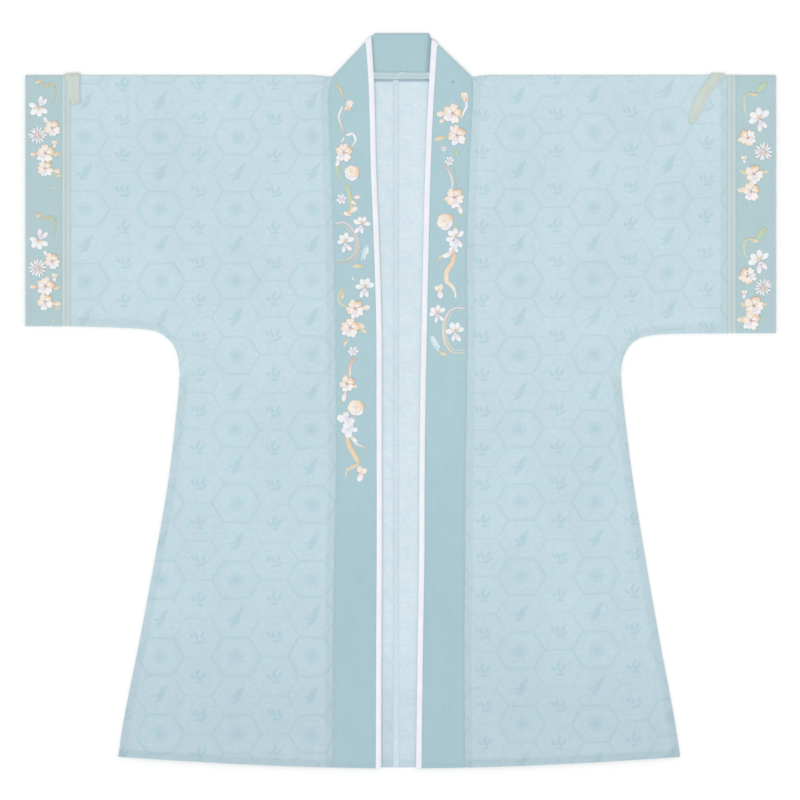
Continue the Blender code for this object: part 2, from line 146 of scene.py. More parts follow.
EdgeRow = namedtuple("EdgeRow", "y out")
UnderRow = namedtuple("UnderRow", "share out y")
BandRow = namedtuple("BandRow", "y seam edge")
FoldRow = namedtuple("FoldRow", "x y angle length width height")
TieRow = namedtuple("TieRow", "share out y width")
Corner = namedtuple("Corner", "out y")
Half = namedtuple("Half", "name sign sleeve_out trim_out side under band neck_low neck_high tie")
BandSection = namedtuple("BandSection", "seam edge zone angle along")
Line = namedtuple("Line", "share offset")
Spot = namedtuple("Spot", "outer inner tint")

# Side seam, from the hem up to the underarm
LEFT_SIDE = (
    EdgeRow(-478.0, 369.0),
    EdgeRow(-415.0, 359.5),
    EdgeRow(-311.0, 338.7),
    EdgeRow(-207.0, 319.2),
    EdgeRow(-103.0, 301.3),
    EdgeRow(0.0, 289.3),
    EdgeRow(UNDERARM_Y, 286.8),
)
RIGHT_SIDE = (
    EdgeRow(-478.0, 365.2),
    EdgeRow(-415.0, 355.6),
    EdgeRow(-311.0, 336.1),
    EdgeRow(-207.0, 317.9),
    EdgeRow(-103.0, 301.4),
    EdgeRow(0.0, 288.6),
    EdgeRow(UNDERARM_Y, 285.8),
)

# Underside of the sleeve, from the underarm out to the trim
LEFT_UNDER = (
    UnderRow(0.00, 286.8, UNDERARM_Y),
    UnderRow(0.14, 288.4, 53.0),
    UnderRow(0.28, 293.6, 69.5),
    UnderRow(0.42, 301.4, 79.4),
    UnderRow(0.55, 311.5, 87.2),
    UnderRow(0.66, 326.0, 91.9),
    UnderRow(0.80, 360.0, 94.6),
    UnderRow(1.00, 429.0, 96.6),
)
RIGHT_UNDER = (
    UnderRow(0.00, 285.8, UNDERARM_Y),
    UnderRow(0.14, 287.4, 48.0),
    UnderRow(0.28, 292.0, 62.0),
    UnderRow(0.42, 299.0, 72.5),
    UnderRow(0.55, 308.5, 79.7),
    UnderRow(0.66, 322.0, 84.2),
    UnderRow(0.80, 352.0, 86.8),
    UnderRow(1.00, 424.8, 87.4),
)

# Collar band: the seam to the front panel, and the free edge
LEFT_BAND = (
    BandRow(-480.0, 87.7, 25.2),
    BandRow(-316.0, 87.7, 24.7),
    BandRow(-212.0, 86.4, 24.1),
    BandRow(-109.0, 84.0, 24.1),
    BandRow(-5.0, 83.9, 24.3),
    BandRow(99.0, 85.2, 24.6),
    BandRow(203.0, 87.2, 27.7),
    BandRow(307.0, 90.6, 31.8),
    BandRow(412.0, 94.2, 34.4),
    BandRow(480.0, 94.2, 38.6),
)
RIGHT_BAND = (
    BandRow(-480.0, 83.7, 20.4),
    BandRow(-316.0, 82.7, 22.5),
    BandRow(-212.0, 83.9, 24.2),
    BandRow(-109.0, 84.1, 24.6),
    BandRow(-5.0, 86.0, 25.7),
    BandRow(99.0, 87.1, 27.7),
    BandRow(203.0, 86.4, 29.9),
    BandRow(307.0, 89.8, 32.6),
    BandRow(412.0, 94.4, 37.3),
    BandRow(480.0, 94.4, 41.4),
)

# Sleeve tapes, from the free end up to the shoulder fold, with their width along X
LEFT_TIE = (
    TieRow(0.0, 422.0, 384.5, 10.5),
    TieRow(0.3, 423.5, 394.0, 13.4),
    TieRow(0.7, 424.5, 409.0, 14.5),
    TieRow(1.0, 426.6, 420.5, 19.5),
)
RIGHT_TIE = (
    TieRow(0.0, 379.3, 360.5, 9.5),
    TieRow(0.3, 384.4, 375.6, 15.0),
    TieRow(0.6, 393.6, 397.2, 16.0),
    TieRow(0.8, 402.2, 409.0, 17.5),
    TieRow(1.0, 412.0, 420.5, 18.5),
)

LEFT = Half(
    name="left",
    sign=-1,
    sleeve_out=429.0,
    trim_out=440.0,
    side=LEFT_SIDE,
    under=LEFT_UNDER,
    band=LEFT_BAND,
    neck_low=Corner(90.6, 418.3),
    neck_high=Corner(38.3, 474.0),
    tie=LEFT_TIE,
)
RIGHT = Half(
    name="right",
    sign=1,
    sleeve_out=424.8,
    trim_out=436.0,
    side=RIGHT_SIDE,
    under=RIGHT_UNDER,
    band=RIGHT_BAND,
    neck_low=Corner(94.4, 418.6),
    neck_high=Corner(41.0, 470.0),
    tie=RIGHT_TIE,
)

# Largest soft folds, as in the solids: middle, direction, half length, half width and height
FOLDS = (
    FoldRow(-108.0, 386.0, 72.0, 34.0, 13.0, 0.9),
    FoldRow(108.0, 388.0, 104.0, 30.0, 13.0, 1.0),
    FoldRow(-312.0, 255.0, 88.0, 125.0, 17.0, 0.9),
    FoldRow(250.0, 268.0, 91.0, 135.0, 16.0, 1.0),
    FoldRow(-392.0, 226.0, 83.0, 85.0, 14.0, 1.1),
    FoldRow(384.0, 236.0, 97.0, 78.0, 15.0, 0.8),
    FoldRow(-262.0, 112.0, 14.0, 70.0, 14.0, 1.0),
    FoldRow(222.0, 117.0, 172.0, 72.0, 14.0, 0.9),
    FoldRow(-252.0, 48.0, -38.0, 58.0, 13.0, 1.0),
    FoldRow(250.0, 44.0, 218.0, 54.0, 13.0, 1.0),
    FoldRow(-214.0, -150.0, 80.0, 130.0, 19.0, 0.9),
    FoldRow(226.0, -172.0, 99.0, 140.0, 19.0, 1.0),
    FoldRow(-146.0, -330.0, 87.0, 110.0, 17.0, 0.9),
    FoldRow(150.0, -352.0, 94.0, 95.0, 17.0, 0.8),
    FoldRow(-288.0, -345.0, 74.0, 100.0, 17.0, 1.1),
    FoldRow(292.0, -330.0, 104.0, 112.0, 16.0, 1.0),
)

# Finer creases, pressed in or standing up between the large folds
CREASES = (
    FoldRow(-101.0, 401.0, 58.0, 13.0, 4.5, 0.45),
    FoldRow(-118.0, 372.0, 79.0, 22.0, 6.0, -0.40),
    FoldRow(98.0, 398.0, 118.0, 14.0, 4.5, 0.50),
    FoldRow(121.0, 378.0, 97.0, 24.0, 6.0, -0.40),
    FoldRow(-405.0, 330.0, 70.0, 38.0, 6.5, -0.55),
    FoldRow(-382.0, 300.0, 96.0, 46.0, 7.0, 0.45),
    FoldRow(-410.0, 205.0, 78.0, 44.0, 6.0, -0.50),
    FoldRow(-372.0, 168.0, 64.0, 36.0, 7.5, 0.40),
    FoldRow(-344.0, 330.0, 84.0, 58.0, 8.0, -0.35),
    FoldRow(-262.0, 300.0, 92.0, 70.0, 9.0, -0.35),
    FoldRow(400.0, 345.0, 108.0, 34.0, 6.5, -0.50),
    FoldRow(372.0, 300.0, 86.0, 52.0, 7.0, 0.35),
    FoldRow(402.0, 168.0, 101.0, 40.0, 6.5, -0.45),
    FoldRow(330.0, 240.0, 93.0, 64.0, 8.5, -0.40),
    FoldRow(300.0, 352.0, 81.0, 40.0, 8.0, 0.30),
    FoldRow(-270.0, 82.0, -24.0, 34.0, 6.0, -0.50),
    FoldRow(-226.0, 66.0, -44.0, 40.0, 7.0, -0.40),
    FoldRow(-276.0, 18.0, -62.0, 30.0, 5.5, 0.45),
    FoldRow(268.0, 80.0, 206.0, 32.0, 6.0, -0.50),
    FoldRow(228.0, 58.0, 224.0, 42.0, 7.0, -0.40),
    FoldRow(276.0, 12.0, 244.0, 30.0, 5.5, 0.45),
    FoldRow(-182.0, 116.0, 4.0, 52.0, 5.5, -0.40),
    FoldRow(164.0, 112.0, 177.0, 48.0, 5.5, -0.35),
    FoldRow(-150.0, -60.0, 84.0, 80.0, 9.0, -0.35),
    FoldRow(-262.0, -92.0, 74.0, 62.0, 8.0, 0.35),
    FoldRow(176.0, -64.0, 95.0, 84.0, 9.0, -0.35),
    FoldRow(278.0, -104.0, 106.0, 58.0, 8.0, 0.35),
    FoldRow(-252.0, -248.0, 77.0, 70.0, 8.5, -0.45),
    FoldRow(258.0, -236.0, 101.0, 76.0, 8.5, -0.45),
    FoldRow(-110.0, -236.0, 92.0, 90.0, 8.0, 0.30),
    FoldRow(108.0, -226.0, 89.0, 88.0, 8.0, 0.30),
    FoldRow(-196.0, -400.0, 82.0, 60.0, 9.0, -0.45),
    FoldRow(-330.0, -420.0, 70.0, 44.0, 8.0, -0.45),
    FoldRow(206.0, -404.0, 97.0, 58.0, 9.0, -0.45),
    FoldRow(332.0, -408.0, 108.0, 46.0, 8.0, -0.45),
)


def mix(low, high, share):
    """Go from low to high by share."""
    return low + (high - low) * share


def ease(share):
    """Rise softly from 0 to 1."""
    share = min(max(share, 0.0), 1.0)
    return share * share * (3.0 - 2.0 * share)


def near(distance, reach):
    """Give 1 at an edge, and fall softly to 0 over a reach."""
    return 1.0 - ease(distance / reach)


def read_curve(rows, at):
    """Read a table at a value of its first column, on a smooth curve through its rows."""
    last = len(rows) - 2
    place = 0
    while place < last and rows[place + 1][0] < at:
        place += 1
    low = rows[place]
    high = rows[place + 1]
    before = rows[max(place - 1, 0)]
    after = rows[min(place + 2, last + 1)]
    step = high[0] - low[0]
    share = min(max((at - low[0]) / step, 0.0), 1.0)
    square = share * share
    cube = square * share
    values = []
    for column in range(1, len(low)):
        slope_low = (high[column] - before[column]) / (high[0] - before[0]) * step
        slope_high = (after[column] - low[column]) / (after[0] - low[0]) * step
        values.append(
            low[column] * (2.0 * cube - 3.0 * square + 1.0)
            + slope_low * (cube - 2.0 * square + share)
            + high[column] * (3.0 * square - 2.0 * cube)
            + slope_high * (cube - square)
        )
    return values


def seam_out(half, y):
    """Give where the front panel meets the collar band."""
    return read_curve(half.band, y)[0]


def edge_out(half, y):
    """Give the band's free edge."""
    return read_curve(half.band, y)[1]


def side_out(half, y):
    """Give the side seam, which stands straight above the underarm."""
    return read_curve(half.side, min(y, UNDERARM_Y))[0]


def hem_y(out):
    """Give the hem, which rises towards the side seams."""
    return HEM_Y + HEM_RISE * (abs(out) / HEM_RISE_AT) ** HEM_RISE_POWER


def relief(rows, x, y):
    """Add up the soft folds of a table at a point of the upper layer."""
    height = 0.0
    for fold in rows:
        if abs(x - fold.x) + abs(y - fold.y) > 2.0 * (fold.length + fold.width):
            continue
        turn = math.radians(fold.angle)
        along = (x - fold.x) * math.cos(turn) + (y - fold.y) * math.sin(turn)
        across = (y - fold.y) * math.cos(turn) - (x - fold.x) * math.sin(turn)
        height += fold.height * math.exp(-(along / fold.length) ** 4 - (across / fold.width) ** 2)
    return height


def ripple(x, y, size):
    """Give the slight unevenness of laid cloth, from -1 to 1."""
    return noise.noise(Vector((x / size, y / size, 0.0))) + 0.5 * noise.noise(
        Vector((2.3 * x / size, 1.7 * y / size, 5.0))
    )


def build_piece(name, points, faces, cuts, tints, material):
    """Make an object from points in millimetres, with each corner's cut and each point's tint."""
    mesh = bpy.data.meshes.new(name)
    mesh.from_pydata([[value * MILLIMETRE for value in point] for point in points], [], faces)
    uv_map = mesh.uv_layers.new(name="cut")
    for corner, cut in enumerate(cuts):
        uv_map.data[corner].uv = (cut[0] * MILLIMETRE, cut[1] * MILLIMETRE)
    tint = mesh.color_attributes.new(name="tint", type="FLOAT_COLOR", domain="POINT")
    for point, value in enumerate(tints):
        tint.data[point].color = (*value, 1.0)
    mesh.materials.append(material)
    mesh.shade_smooth()
    piece = bpy.data.objects.new(name, mesh)
    bpy.context.collection.objects.link(piece)
    return piece


class Cloth:
    """Gathers closed walls of cloth into one mesh, with each corner's place in the flat cut."""

    def __init__(self):
        self.points = []
        self.tints = []
        self.faces = []
        self.cuts = []

    def add_face(self, corners, cuts):
        """Add a face with its corners' places in the cut."""
        self.faces.append(corners)
        self.cuts.extend(cuts)

    def add_wall(self, cells, place, cut, turns=None):
        """Add one closed wall. A cell's keys turn left as seen from outside.

        Place gives a key's spot and cut its place in the flat cut, both in millimetres. Turns is
        the number of rows of a tube, whose last row is joined to its first.
        """
        index = {}
        sides = {}
        for cell in cells:
            corners = []
            for key in cell:
                home = key if turns is None else (key[0] % turns, key[1])
                if home not in index:
                    index[home] = len(self.points)
                    spot = place(home)
                    self.points += [spot.outer, spot.inner]
                    self.tints += [spot.tint, spot.tint]
                corners.append(index[home])
            cuts = [cut(key) for key in cell]
            self.add_face(corners, cuts)
            self.add_face([corner + 1 for corner in reversed(corners)], reversed(cuts))
            for step in range(len(cell)):
                after = (step + 1) % len(cell)
                sides[corners[step], corners[after]] = (cuts[step], cuts[after])
        for (start, end), (cut_start, cut_end) in sides.items():
            if (end, start) not in sides:
                corners = [end, start, start + 1, end + 1]
                self.add_face(corners, [cut_end, cut_start, cut_start, cut_end])

    def finish(self, name, material, smooth_angle=50.0):
        """Make the mesh and its object."""
        piece = build_piece(name, self.points, self.faces, self.cuts, self.tints, material)
        piece.data.set_sharp_from_angle(angle=math.radians(smooth_angle))
        return piece


def grid_cells(rows, columns, mirrored=False):
    """List the cells of a sheet of points."""
    cells = []
    for row in range(rows):
        for column in range(columns):
            cell = ((row, column), (row, column + 1), (row + 1, column + 1), (row + 1, column))
            cells.append(cell[::-1] if mirrored else cell)
    return cells


def spread_lines(start_steps, end_steps, between):
    """List grid lines: close to both edges at set distances, and evenly in between."""
    lines = [Line(0.0, step) for step in start_steps]
    first = start_steps[-1]
    last = end_steps[-1]
    for step in range(1, between):
        share = step / between
        lines.append(Line(share, mix(first, -last, share)))
    lines += [Line(1.0, -step) for step in reversed(end_steps)]
    return lines


def on_line(line, low, high):
    """Place a grid line between two edges."""
    return mix(low, high, line.share) + line.offset


# Grid lines of the body halves
PANEL_STEPS = (0.0, 0.8, 1.8, 3.2, 6.0, 9.6, 10.8)
SIDE_STEPS = (0.0, 0.8, 1.8, 3.2, 6.0, 9.6, 10.8)
HEM_STEPS = (0.0, 0.8, 2.0, 5.0, 8.5, 9.5, 12.0)
TORSO_LINES = spread_lines(PANEL_STEPS, SIDE_STEPS, 46)
SLEEVE_SHARES = [step / 30 for step in range(1, 30)] + [0.9725, 0.975, 0.9775, 0.988, 0.994, 0.998, 1.0]
INNER_BACK_LINES = 9
LOW_LINES = spread_lines(HEM_STEPS, (0.0,), 112)[:-1]
HIGH_LINES = spread_lines((0.0, 0.8, 1.8, 3.2, 6.0), (0.0, 2.0, 5.0), 88)
BACK_HIGH_LINES = spread_lines((0.0, 0.8, 1.8, 3.2, 6.0), (0.0, 0.9, 1.8, 2.8, 4.0, 6.0), 22)
BACK_LOW_LINES = spread_lines(HEM_STEPS, (0.0,), 28)[:-1]
FOLD_STEPS = 8


def body_rows():
    """List the rows of a body half from the front hem, over the shoulder fold, to the back hem."""
    rows = [("front_low", line) for line in LOW_LINES]
    rows += [("front_high", line) for line in HIGH_LINES]
    rows += [("fold", step / FOLD_STEPS) for step in range(1, FOLD_STEPS)]
    rows += [("back_high", line) for line in reversed(BACK_HIGH_LINES)]
    rows += [("back_low", line) for line in reversed(BACK_LOW_LINES)]
    return rows


def shoulder_dip(out):
    """Give how far the shoulder fold dips beside the neck."""
    return NECK_DIP * near(out - LEFT.neck_low.out, NECK_DIP_LENGTH)


def torso_out(half, column, y, seam_y):
    """Give a torso column's distance from the middle; columns below 0 are the inner back."""
    seam = seam_line(half, seam_y)
    if column < 0:
        centre_back = CENTRE_BACK_X * half.sign + BUTT_GAP
        return mix(centre_back, seam, 1.0 + column / INNER_BACK_LINES)
    return on_line(TORSO_LINES[column], seam, side_out(half, y))


def body_spot(half, zone, line, column):
    """Give a body point's out and y, and how far it lies from the low edge and the side edge."""
    torso_columns = len(TORSO_LINES)
    top_y = NECK_SEAM_Y - 0.3
    if zone.startswith("front"):
        top_y = SHOULDER_Y - 0.5 * LAYER_TOP
        if column < torso_columns:
            top_y -= shoulder_dip(torso_out(half, column, SHOULDER_Y, SHOULDER_Y))
    if zone.endswith("low"):
        y = mix(HEM_Y, UNDERARM_Y, line.share) + line.offset
        for _ in range(4):
            out = torso_out(half, column, y, y if zone.startswith("front") else SHOULDER_Y)
            hem = hem_y(out)
            if zone == "back_low":
                hem += BACK_HEM_LIFT * ease(1.0 - out / HEM_RISE_AT)
            y = on_line(line, hem, UNDERARM_Y)
        return out, y, y - hem, side_out(half, y) - out
    if column >= torso_columns:
        out, low_y = read_curve(half.under, SLEEVE_SHARES[column - torso_columns])
        y = on_line(line, low_y, top_y)
        return out, y, y - low_y, y - low_y
    y = on_line(line, UNDERARM_Y, top_y)
    out = torso_out(half, column, y, y if zone.startswith("front") else SHOULDER_Y)
    corner = half.under[0]
    to_corner = math.hypot(max(corner.out - out, 0.0), y - corner.y)
    return out, y, LIFT_EDGE, to_corner


def strip(distance, width):
    """Give 1 inside a strip along an edge and 0 beyond it, with a soft step."""
    return near(distance - width, STEP_WIDTH)


def front_height(half, out, y, from_side):
    """Give the height of the upper layer's top."""
    x = half.sign * out
    from_seam = out - seam_line(half, y)
    from_end = half.sleeve_out - out
    fade = ease(from_seam / LIFT_EDGE) * ease((SHOULDER_Y - y) / LIFT_EDGE)
    fade *= ease(from_end / LIFT_EDGE) * ease(from_side / LIFT_EDGE)
    folds = min(PUFF_HEIGHT + relief(FOLDS, x, y), LIFT_MOST) * fade
    fine_fade = ease(from_seam / 9.0) * ease((SHOULDER_Y - y) / 12.0)
    fine_fade *= ease(from_end / 9.0) * ease(from_side / 12.0)
    fine = (relief(CREASES, x, y) + RIPPLE_HEIGHT * ripple(x, y, RIPPLE_SIZE)) * fine_fade
    roll = 0.35 * near(from_seam, 2.6) + 0.8 * near(from_side, SIDE_ROLL)
    return LAYER_TOP + folds + fine - roll


def make_body(half, material):
    """Make a body half: front, back and sleeve in one thin sheet, folded at the shoulder."""
    rows = body_rows()
    zones = [zone for zone, _ in rows]
    sleeve_first = zones.index("front_high")
    sleeve_last = zones.index("back_low") - 1
    neck_row = zones.index("back_high")
    torso_last = len(TORSO_LINES) - 1
    sleeve_columns = len(SLEEVE_SHARES)
    radius = 0.5 * LAYER_TOP

    def fold_spot(key):
        share = rows[key[0]][1]
        out = body_spot(half, "front_high", HIGH_LINES[-1], key[1])[0]
        angle = math.pi * (0.5 - share)
        pair = []
        for reach in (radius, radius - BODY_WALL):
            y = SHOULDER_Y - shoulder_dip(out) - radius + reach * math.cos(angle)
            pair.append((half.sign * out, y, radius + reach * math.sin(angle)))
        return Spot(*pair, (0.0, 0.0, 0.0))

    def place(key):
        zone, line = rows[key[0]]
        if zone == "fold":
            return fold_spot(key)
        out, y, from_low, from_side = body_spot(half, zone, line, key[1])
        x = half.sign * out
        low = zone.endswith("low")
        hem = strip(from_low, HEM_DEPTH) if low else 0.0
        turned = strip(from_side, SEAM_ALLOWANCE) if low or key[1] > torso_last else 0.0
        if half is RIGHT:
            turned = max(turned, strip(half.sleeve_out - out, SLEEVE_ALLOWANCE))
        if zone.startswith("front"):
            turned = max(turned, strip(out - seam_line(half, y), SEAM_ALLOWANCE))
            top = front_height(half, out, y, from_side) + HEM_STEP * hem
            return Spot((x, y, top), (x, y, top - BODY_WALL - HEM_STEP * hem), (0.0, turned, hem))
        lift = 0.45 * near(from_side, SIDE_ROLL)
        single_layer_and_shadow = 1.0 if key[1] <= 0 else 0.0
        # Painted shadow of the neck tape on the back panel: the mark rises above 1 just below the neck seam
        single_layer_and_shadow *= 1.0 + 0.9 * bead(y, NECK_SEAM_Y - 1.3, 1.7)
        top = lift + BODY_WALL + HEM_STEP * hem
        return Spot((x, y, lift), (x, y, top), (single_layer_and_shadow, turned, hem))

    def cut(key):
        zone, line = rows[key[0]]
        if zone == "fold":
            out = body_spot(half, "front_high", HIGH_LINES[-1], key[1])[0]
            return half.sign * out, SHOULDER_Y + mix(-radius, radius, line)
        out, y = body_spot(half, zone, line, key[1])[:2]
        return half.sign * out, y if zone.startswith("front") else 2.0 * SHOULDER_Y - y

    cells = []
    for row in range(len(rows) - 1):
        first = -INNER_BACK_LINES if row >= neck_row else 0
        has_sleeve = sleeve_first <= row < sleeve_last
        last = torso_last + sleeve_columns if has_sleeve else torso_last
        for column in range(first, last):
            cell = ((row, column), (row, column + 1), (row + 1, column + 1), (row + 1, column))
            cells.append(cell if half.sign > 0 else cell[::-1])
    spots = {}
    cuts = {}
    cloth = Cloth()
    cloth.add_wall(cells, lambda key: remember(spots, key, place), lambda key: remember(cuts, key, cut))
    return cloth.finish(half.name + "_body_cloth", material)


def remember(store, key, work_out):
    """Work out a key's value once."""
    if key not in store:
        store[key] = work_out(key)
    return store[key]


# Rings round the sleeve's end
RING_ROWS = 64
RING_FOLD_STEPS = 7


def make_ring(half, name, columns, top, wall, rise, material):
    """Make a flattened tube. Columns are distances from the middle; rise lifts the outside there."""
    flat = [step / RING_ROWS for step in range(RING_ROWS + 1)]
    turn = [step / RING_FOLD_STEPS for step in range(1, RING_FOLD_STEPS)]
    ring = [("front", share) for share in flat] + [("top", share) for share in turn]
    ring += [("back", 1.0 - share) for share in flat] + [("bottom", share) for share in turn]
    under = half.under[-1].y
    radius = 0.5 * top
    low_y = under + radius
    high_y = SHOULDER_Y - radius
    length = high_y - low_y
    half_turn = math.pi * radius

    def place(key):
        zone, share = ring[key[0]]
        out = columns[key[1]]
        x = half.sign * out
        y = mix(low_y, high_y, share)
        step = rise(out)
        tint = (bead(out, SLEEVE_END - CUFF_HEM_DEPTH + 0.6, 0.9), 0.0, 0.0)
        if zone == "front":
            height = top + step + 0.5 * RIPPLE_HEIGHT * ripple(x, y, RIPPLE_SIZE) * ease(
                min(share, 1.0 - share) * 9.0
            )
            return Spot((x, y, height), (x, y, height - wall - step), tint)
        if zone == "back":
            return Spot((x, y, 0.0), (x, y, wall), tint)
        angle = math.pi * (0.5 - share)
        pair = []
        for reach in (radius, radius - wall):
            reach_y = reach * math.cos(angle)
            reach_z = reach * math.sin(angle)
            if zone == "top":
                pair.append((x, high_y + reach_y, radius + reach_z))
            else:
                pair.append((x, low_y - reach_y, radius - reach_z))
        return Spot(*pair, tint)

    def cut(key):
        if key[0] == len(ring):
            return columns[key[1]], 2.0 * (length + half_turn)
        zone, share = ring[key[0]]
        if zone == "front":
            along = share * length
        elif zone == "top":
            along = length + share * half_turn
        elif zone == "back":
            along = length + half_turn + (1.0 - share) * length
        else:
            along = 2.0 * length + half_turn + share * half_turn
        return columns[key[1]], along

    cloth = Cloth()
    cells = grid_cells(len(ring), len(columns) - 1, mirrored=half.sign < 0)
    cloth.add_wall(cells, place, cut, turns=len(ring))
    piece = cloth.finish(name, material)
    return piece, 2.0 * (length + half_turn)


def bead(distance, middle, width):
    """Give a soft bead of height 1 across a tape."""
    return math.exp(-(((distance - middle) / width) ** 2))


def make_sleeve_end(half, trim_material, cuff_material):
    """Make the woven trim with its two ribs, and the wide cuff with its turned hem."""
    start = half.sleeve_out + BUTT_GAP
    end = half.trim_out - BUTT_GAP
    width = end - start
    columns = [mix(start, end, step / 16) for step in range(17)]

    def ribs(out):
        across = (out - start) / width
        return sum(0.22 * bead(across, rib, 0.09) for rib in TRIM_RIBS)

    trim, trim_round = make_ring(
        half, half.name + "_cuff_trim", columns, TRIM_TOP, TRIM_WALL, ribs, trim_material
    )
    finish_sheet(trim, "cuff_trim_" + half.name, (width, trim_round))
    edge = SLEEVE_END - CUFF_HEM_DEPTH
    columns = [half.trim_out, half.trim_out + 1.0]
    columns += [mix(half.trim_out + 1.0, edge - 1.0, step / 9) for step in range(1, 10)]
    columns += [edge, edge + 0.6, edge + 1.2, edge + 2.0, edge + 4.0, SLEEVE_END - 0.7, SLEEVE_END]

    def hem(out):
        return HEM_STEP * ease((out - edge + 0.6) / 1.2) * (1.0 - 0.9 * ease((out - SLEEVE_END + 1.0) / 1.0))

    cuff, cuff_round = make_ring(
        half, half.name + "_cuff_band", columns, LAYER_TOP, CUFF_WALL, hem, cuff_material
    )
    return cuff, (SLEEVE_END - half.trim_out, cuff_round)


def band_top(y):
    """Give the top of the front band, which rises to lie on the back-neck part."""
    return mix(BAND_TOP, BAND_TOP_AT_NECK, ease((y - BAND_TILT_FROM_Y) / BAND_RISE_LENGTH))


def cuff_top(_):
    """Give the top of a cuff, which is the same at each y."""
    return LAYER_TOP


def neck_fold_normal(half):
    """Give the direction across the diagonal neck fold, outwards, in out and y."""
    run = half.neck_low.out - half.neck_high.out
    rise = half.neck_high.y - half.neck_low.y
    length = math.hypot(run, rise)
    return rise / length, run / length


def fold_point(half, out, y, angle, reach):
    """Turn a point over the diagonal neck fold, at a reach from the fold's middle line."""
    normal_out, normal_y = neck_fold_normal(half)
    forward = reach * math.cos(angle)
    height = 0.5 * BAND_TOP_AT_NECK + reach * math.sin(angle)
    return half.sign * (out + forward * normal_out), y + forward * normal_y, height


BAND_ROWS = 170
BAND_TILT_ROWS = 24
NECK_COLUMNS = 28
PIPING_END = -0.3
PIPING_SLIM_LENGTH = 6.0
BAND_LINES = spread_lines((0.0, 0.5, 1.2, 2.4, 4.5), (0.0, 0.6, 1.5, 3.0, 5.2, 6.5, 7.8), 9)


def fold_ends(half):
    """Give the band's seam point and edge point where the diagonal neck fold starts."""
    radius = 0.5 * BAND_TOP_AT_NECK
    normal_out, normal_y = neck_fold_normal(half)
    seam_end = Corner(half.neck_low.out - radius * normal_out, half.neck_low.y - radius * normal_y)
    edge_end = Corner(half.neck_high.out, half.neck_high.y - radius / normal_y)
    return seam_end, edge_end


def seam_line(half, y):
    """Give where body and band meet: the seam, bent inwards to the fold at the shoulder."""
    if y <= BAND_TILT_FROM_Y:
        return seam_out(half, y)
    end = fold_ends(half)[0]
    share = (y - BAND_TILT_FROM_Y) / (end.y - BAND_TILT_FROM_Y)
    return mix(seam_out(half, y), end.out, ease(3.0 * share - 2.0))


def band_sections(half):
    """List the band's sections on one side, each from the seam point to the edge point."""
    radius = 0.5 * BAND_TOP_AT_NECK
    seam_end, edge_end = fold_ends(half)
    sections = []
    for row in range(BAND_ROWS + 1):
        y = mix(HEM_Y, BAND_TILT_FROM_Y, row / BAND_ROWS)
        outs = (seam_out(half, y) - BUTT_GAP, edge_out(half, y))
        seam, edge = [Corner(out, max(y, hem_y(out))) for out in outs]
        sections.append(BandSection(seam, edge, "front", 0.0, y))
    for row in range(1, BAND_TILT_ROWS + 1):
        share = row / BAND_TILT_ROWS
        seam_y = mix(BAND_TILT_FROM_Y, seam_end.y, share)
        edge_y = mix(BAND_TILT_FROM_Y, edge_end.y, share)
        seam = Corner(seam_line(half, seam_y) - BUTT_GAP, seam_y)
        edge = Corner(edge_out(half, edge_y), edge_y)
        sections.append(BandSection(seam, edge, "front", 0.0, 0.5 * (seam_y + edge_y)))
    along = 0.5 * (seam_end.y + edge_end.y)
    turn = math.pi * radius
    for step in range(1, FOLD_STEPS):
        share = step / FOLD_STEPS
        angle = math.pi * (0.5 - share)
        sections.append(BandSection(seam_end, edge_end, "fold", angle, along + share * turn))
    for column in range(NECK_COLUMNS + 1):
        share = column / NECK_COLUMNS
        past_corner = min(share * edge_end.out / NECK_CORNER_LENGTH, 1.0)
        seam_share = mix(share, 1.0, NECK_FAN * min(3.5 * past_corner, 1.0))
        seam = Corner(mix(seam_end.out, 0.0, seam_share), mix(seam_end.y, NECK_SEAM_Y, past_corner))
        edge = Corner(mix(edge_end.out, 0.0, share), mix(edge_end.y, COLLAR_TOP_Y, past_corner))
        reach = along + turn + 0.5 * (seam_end.out - seam.out + edge_end.out - edge.out)
        sections.append(BandSection(seam, edge, "neck", 0.0, reach))
    return sections


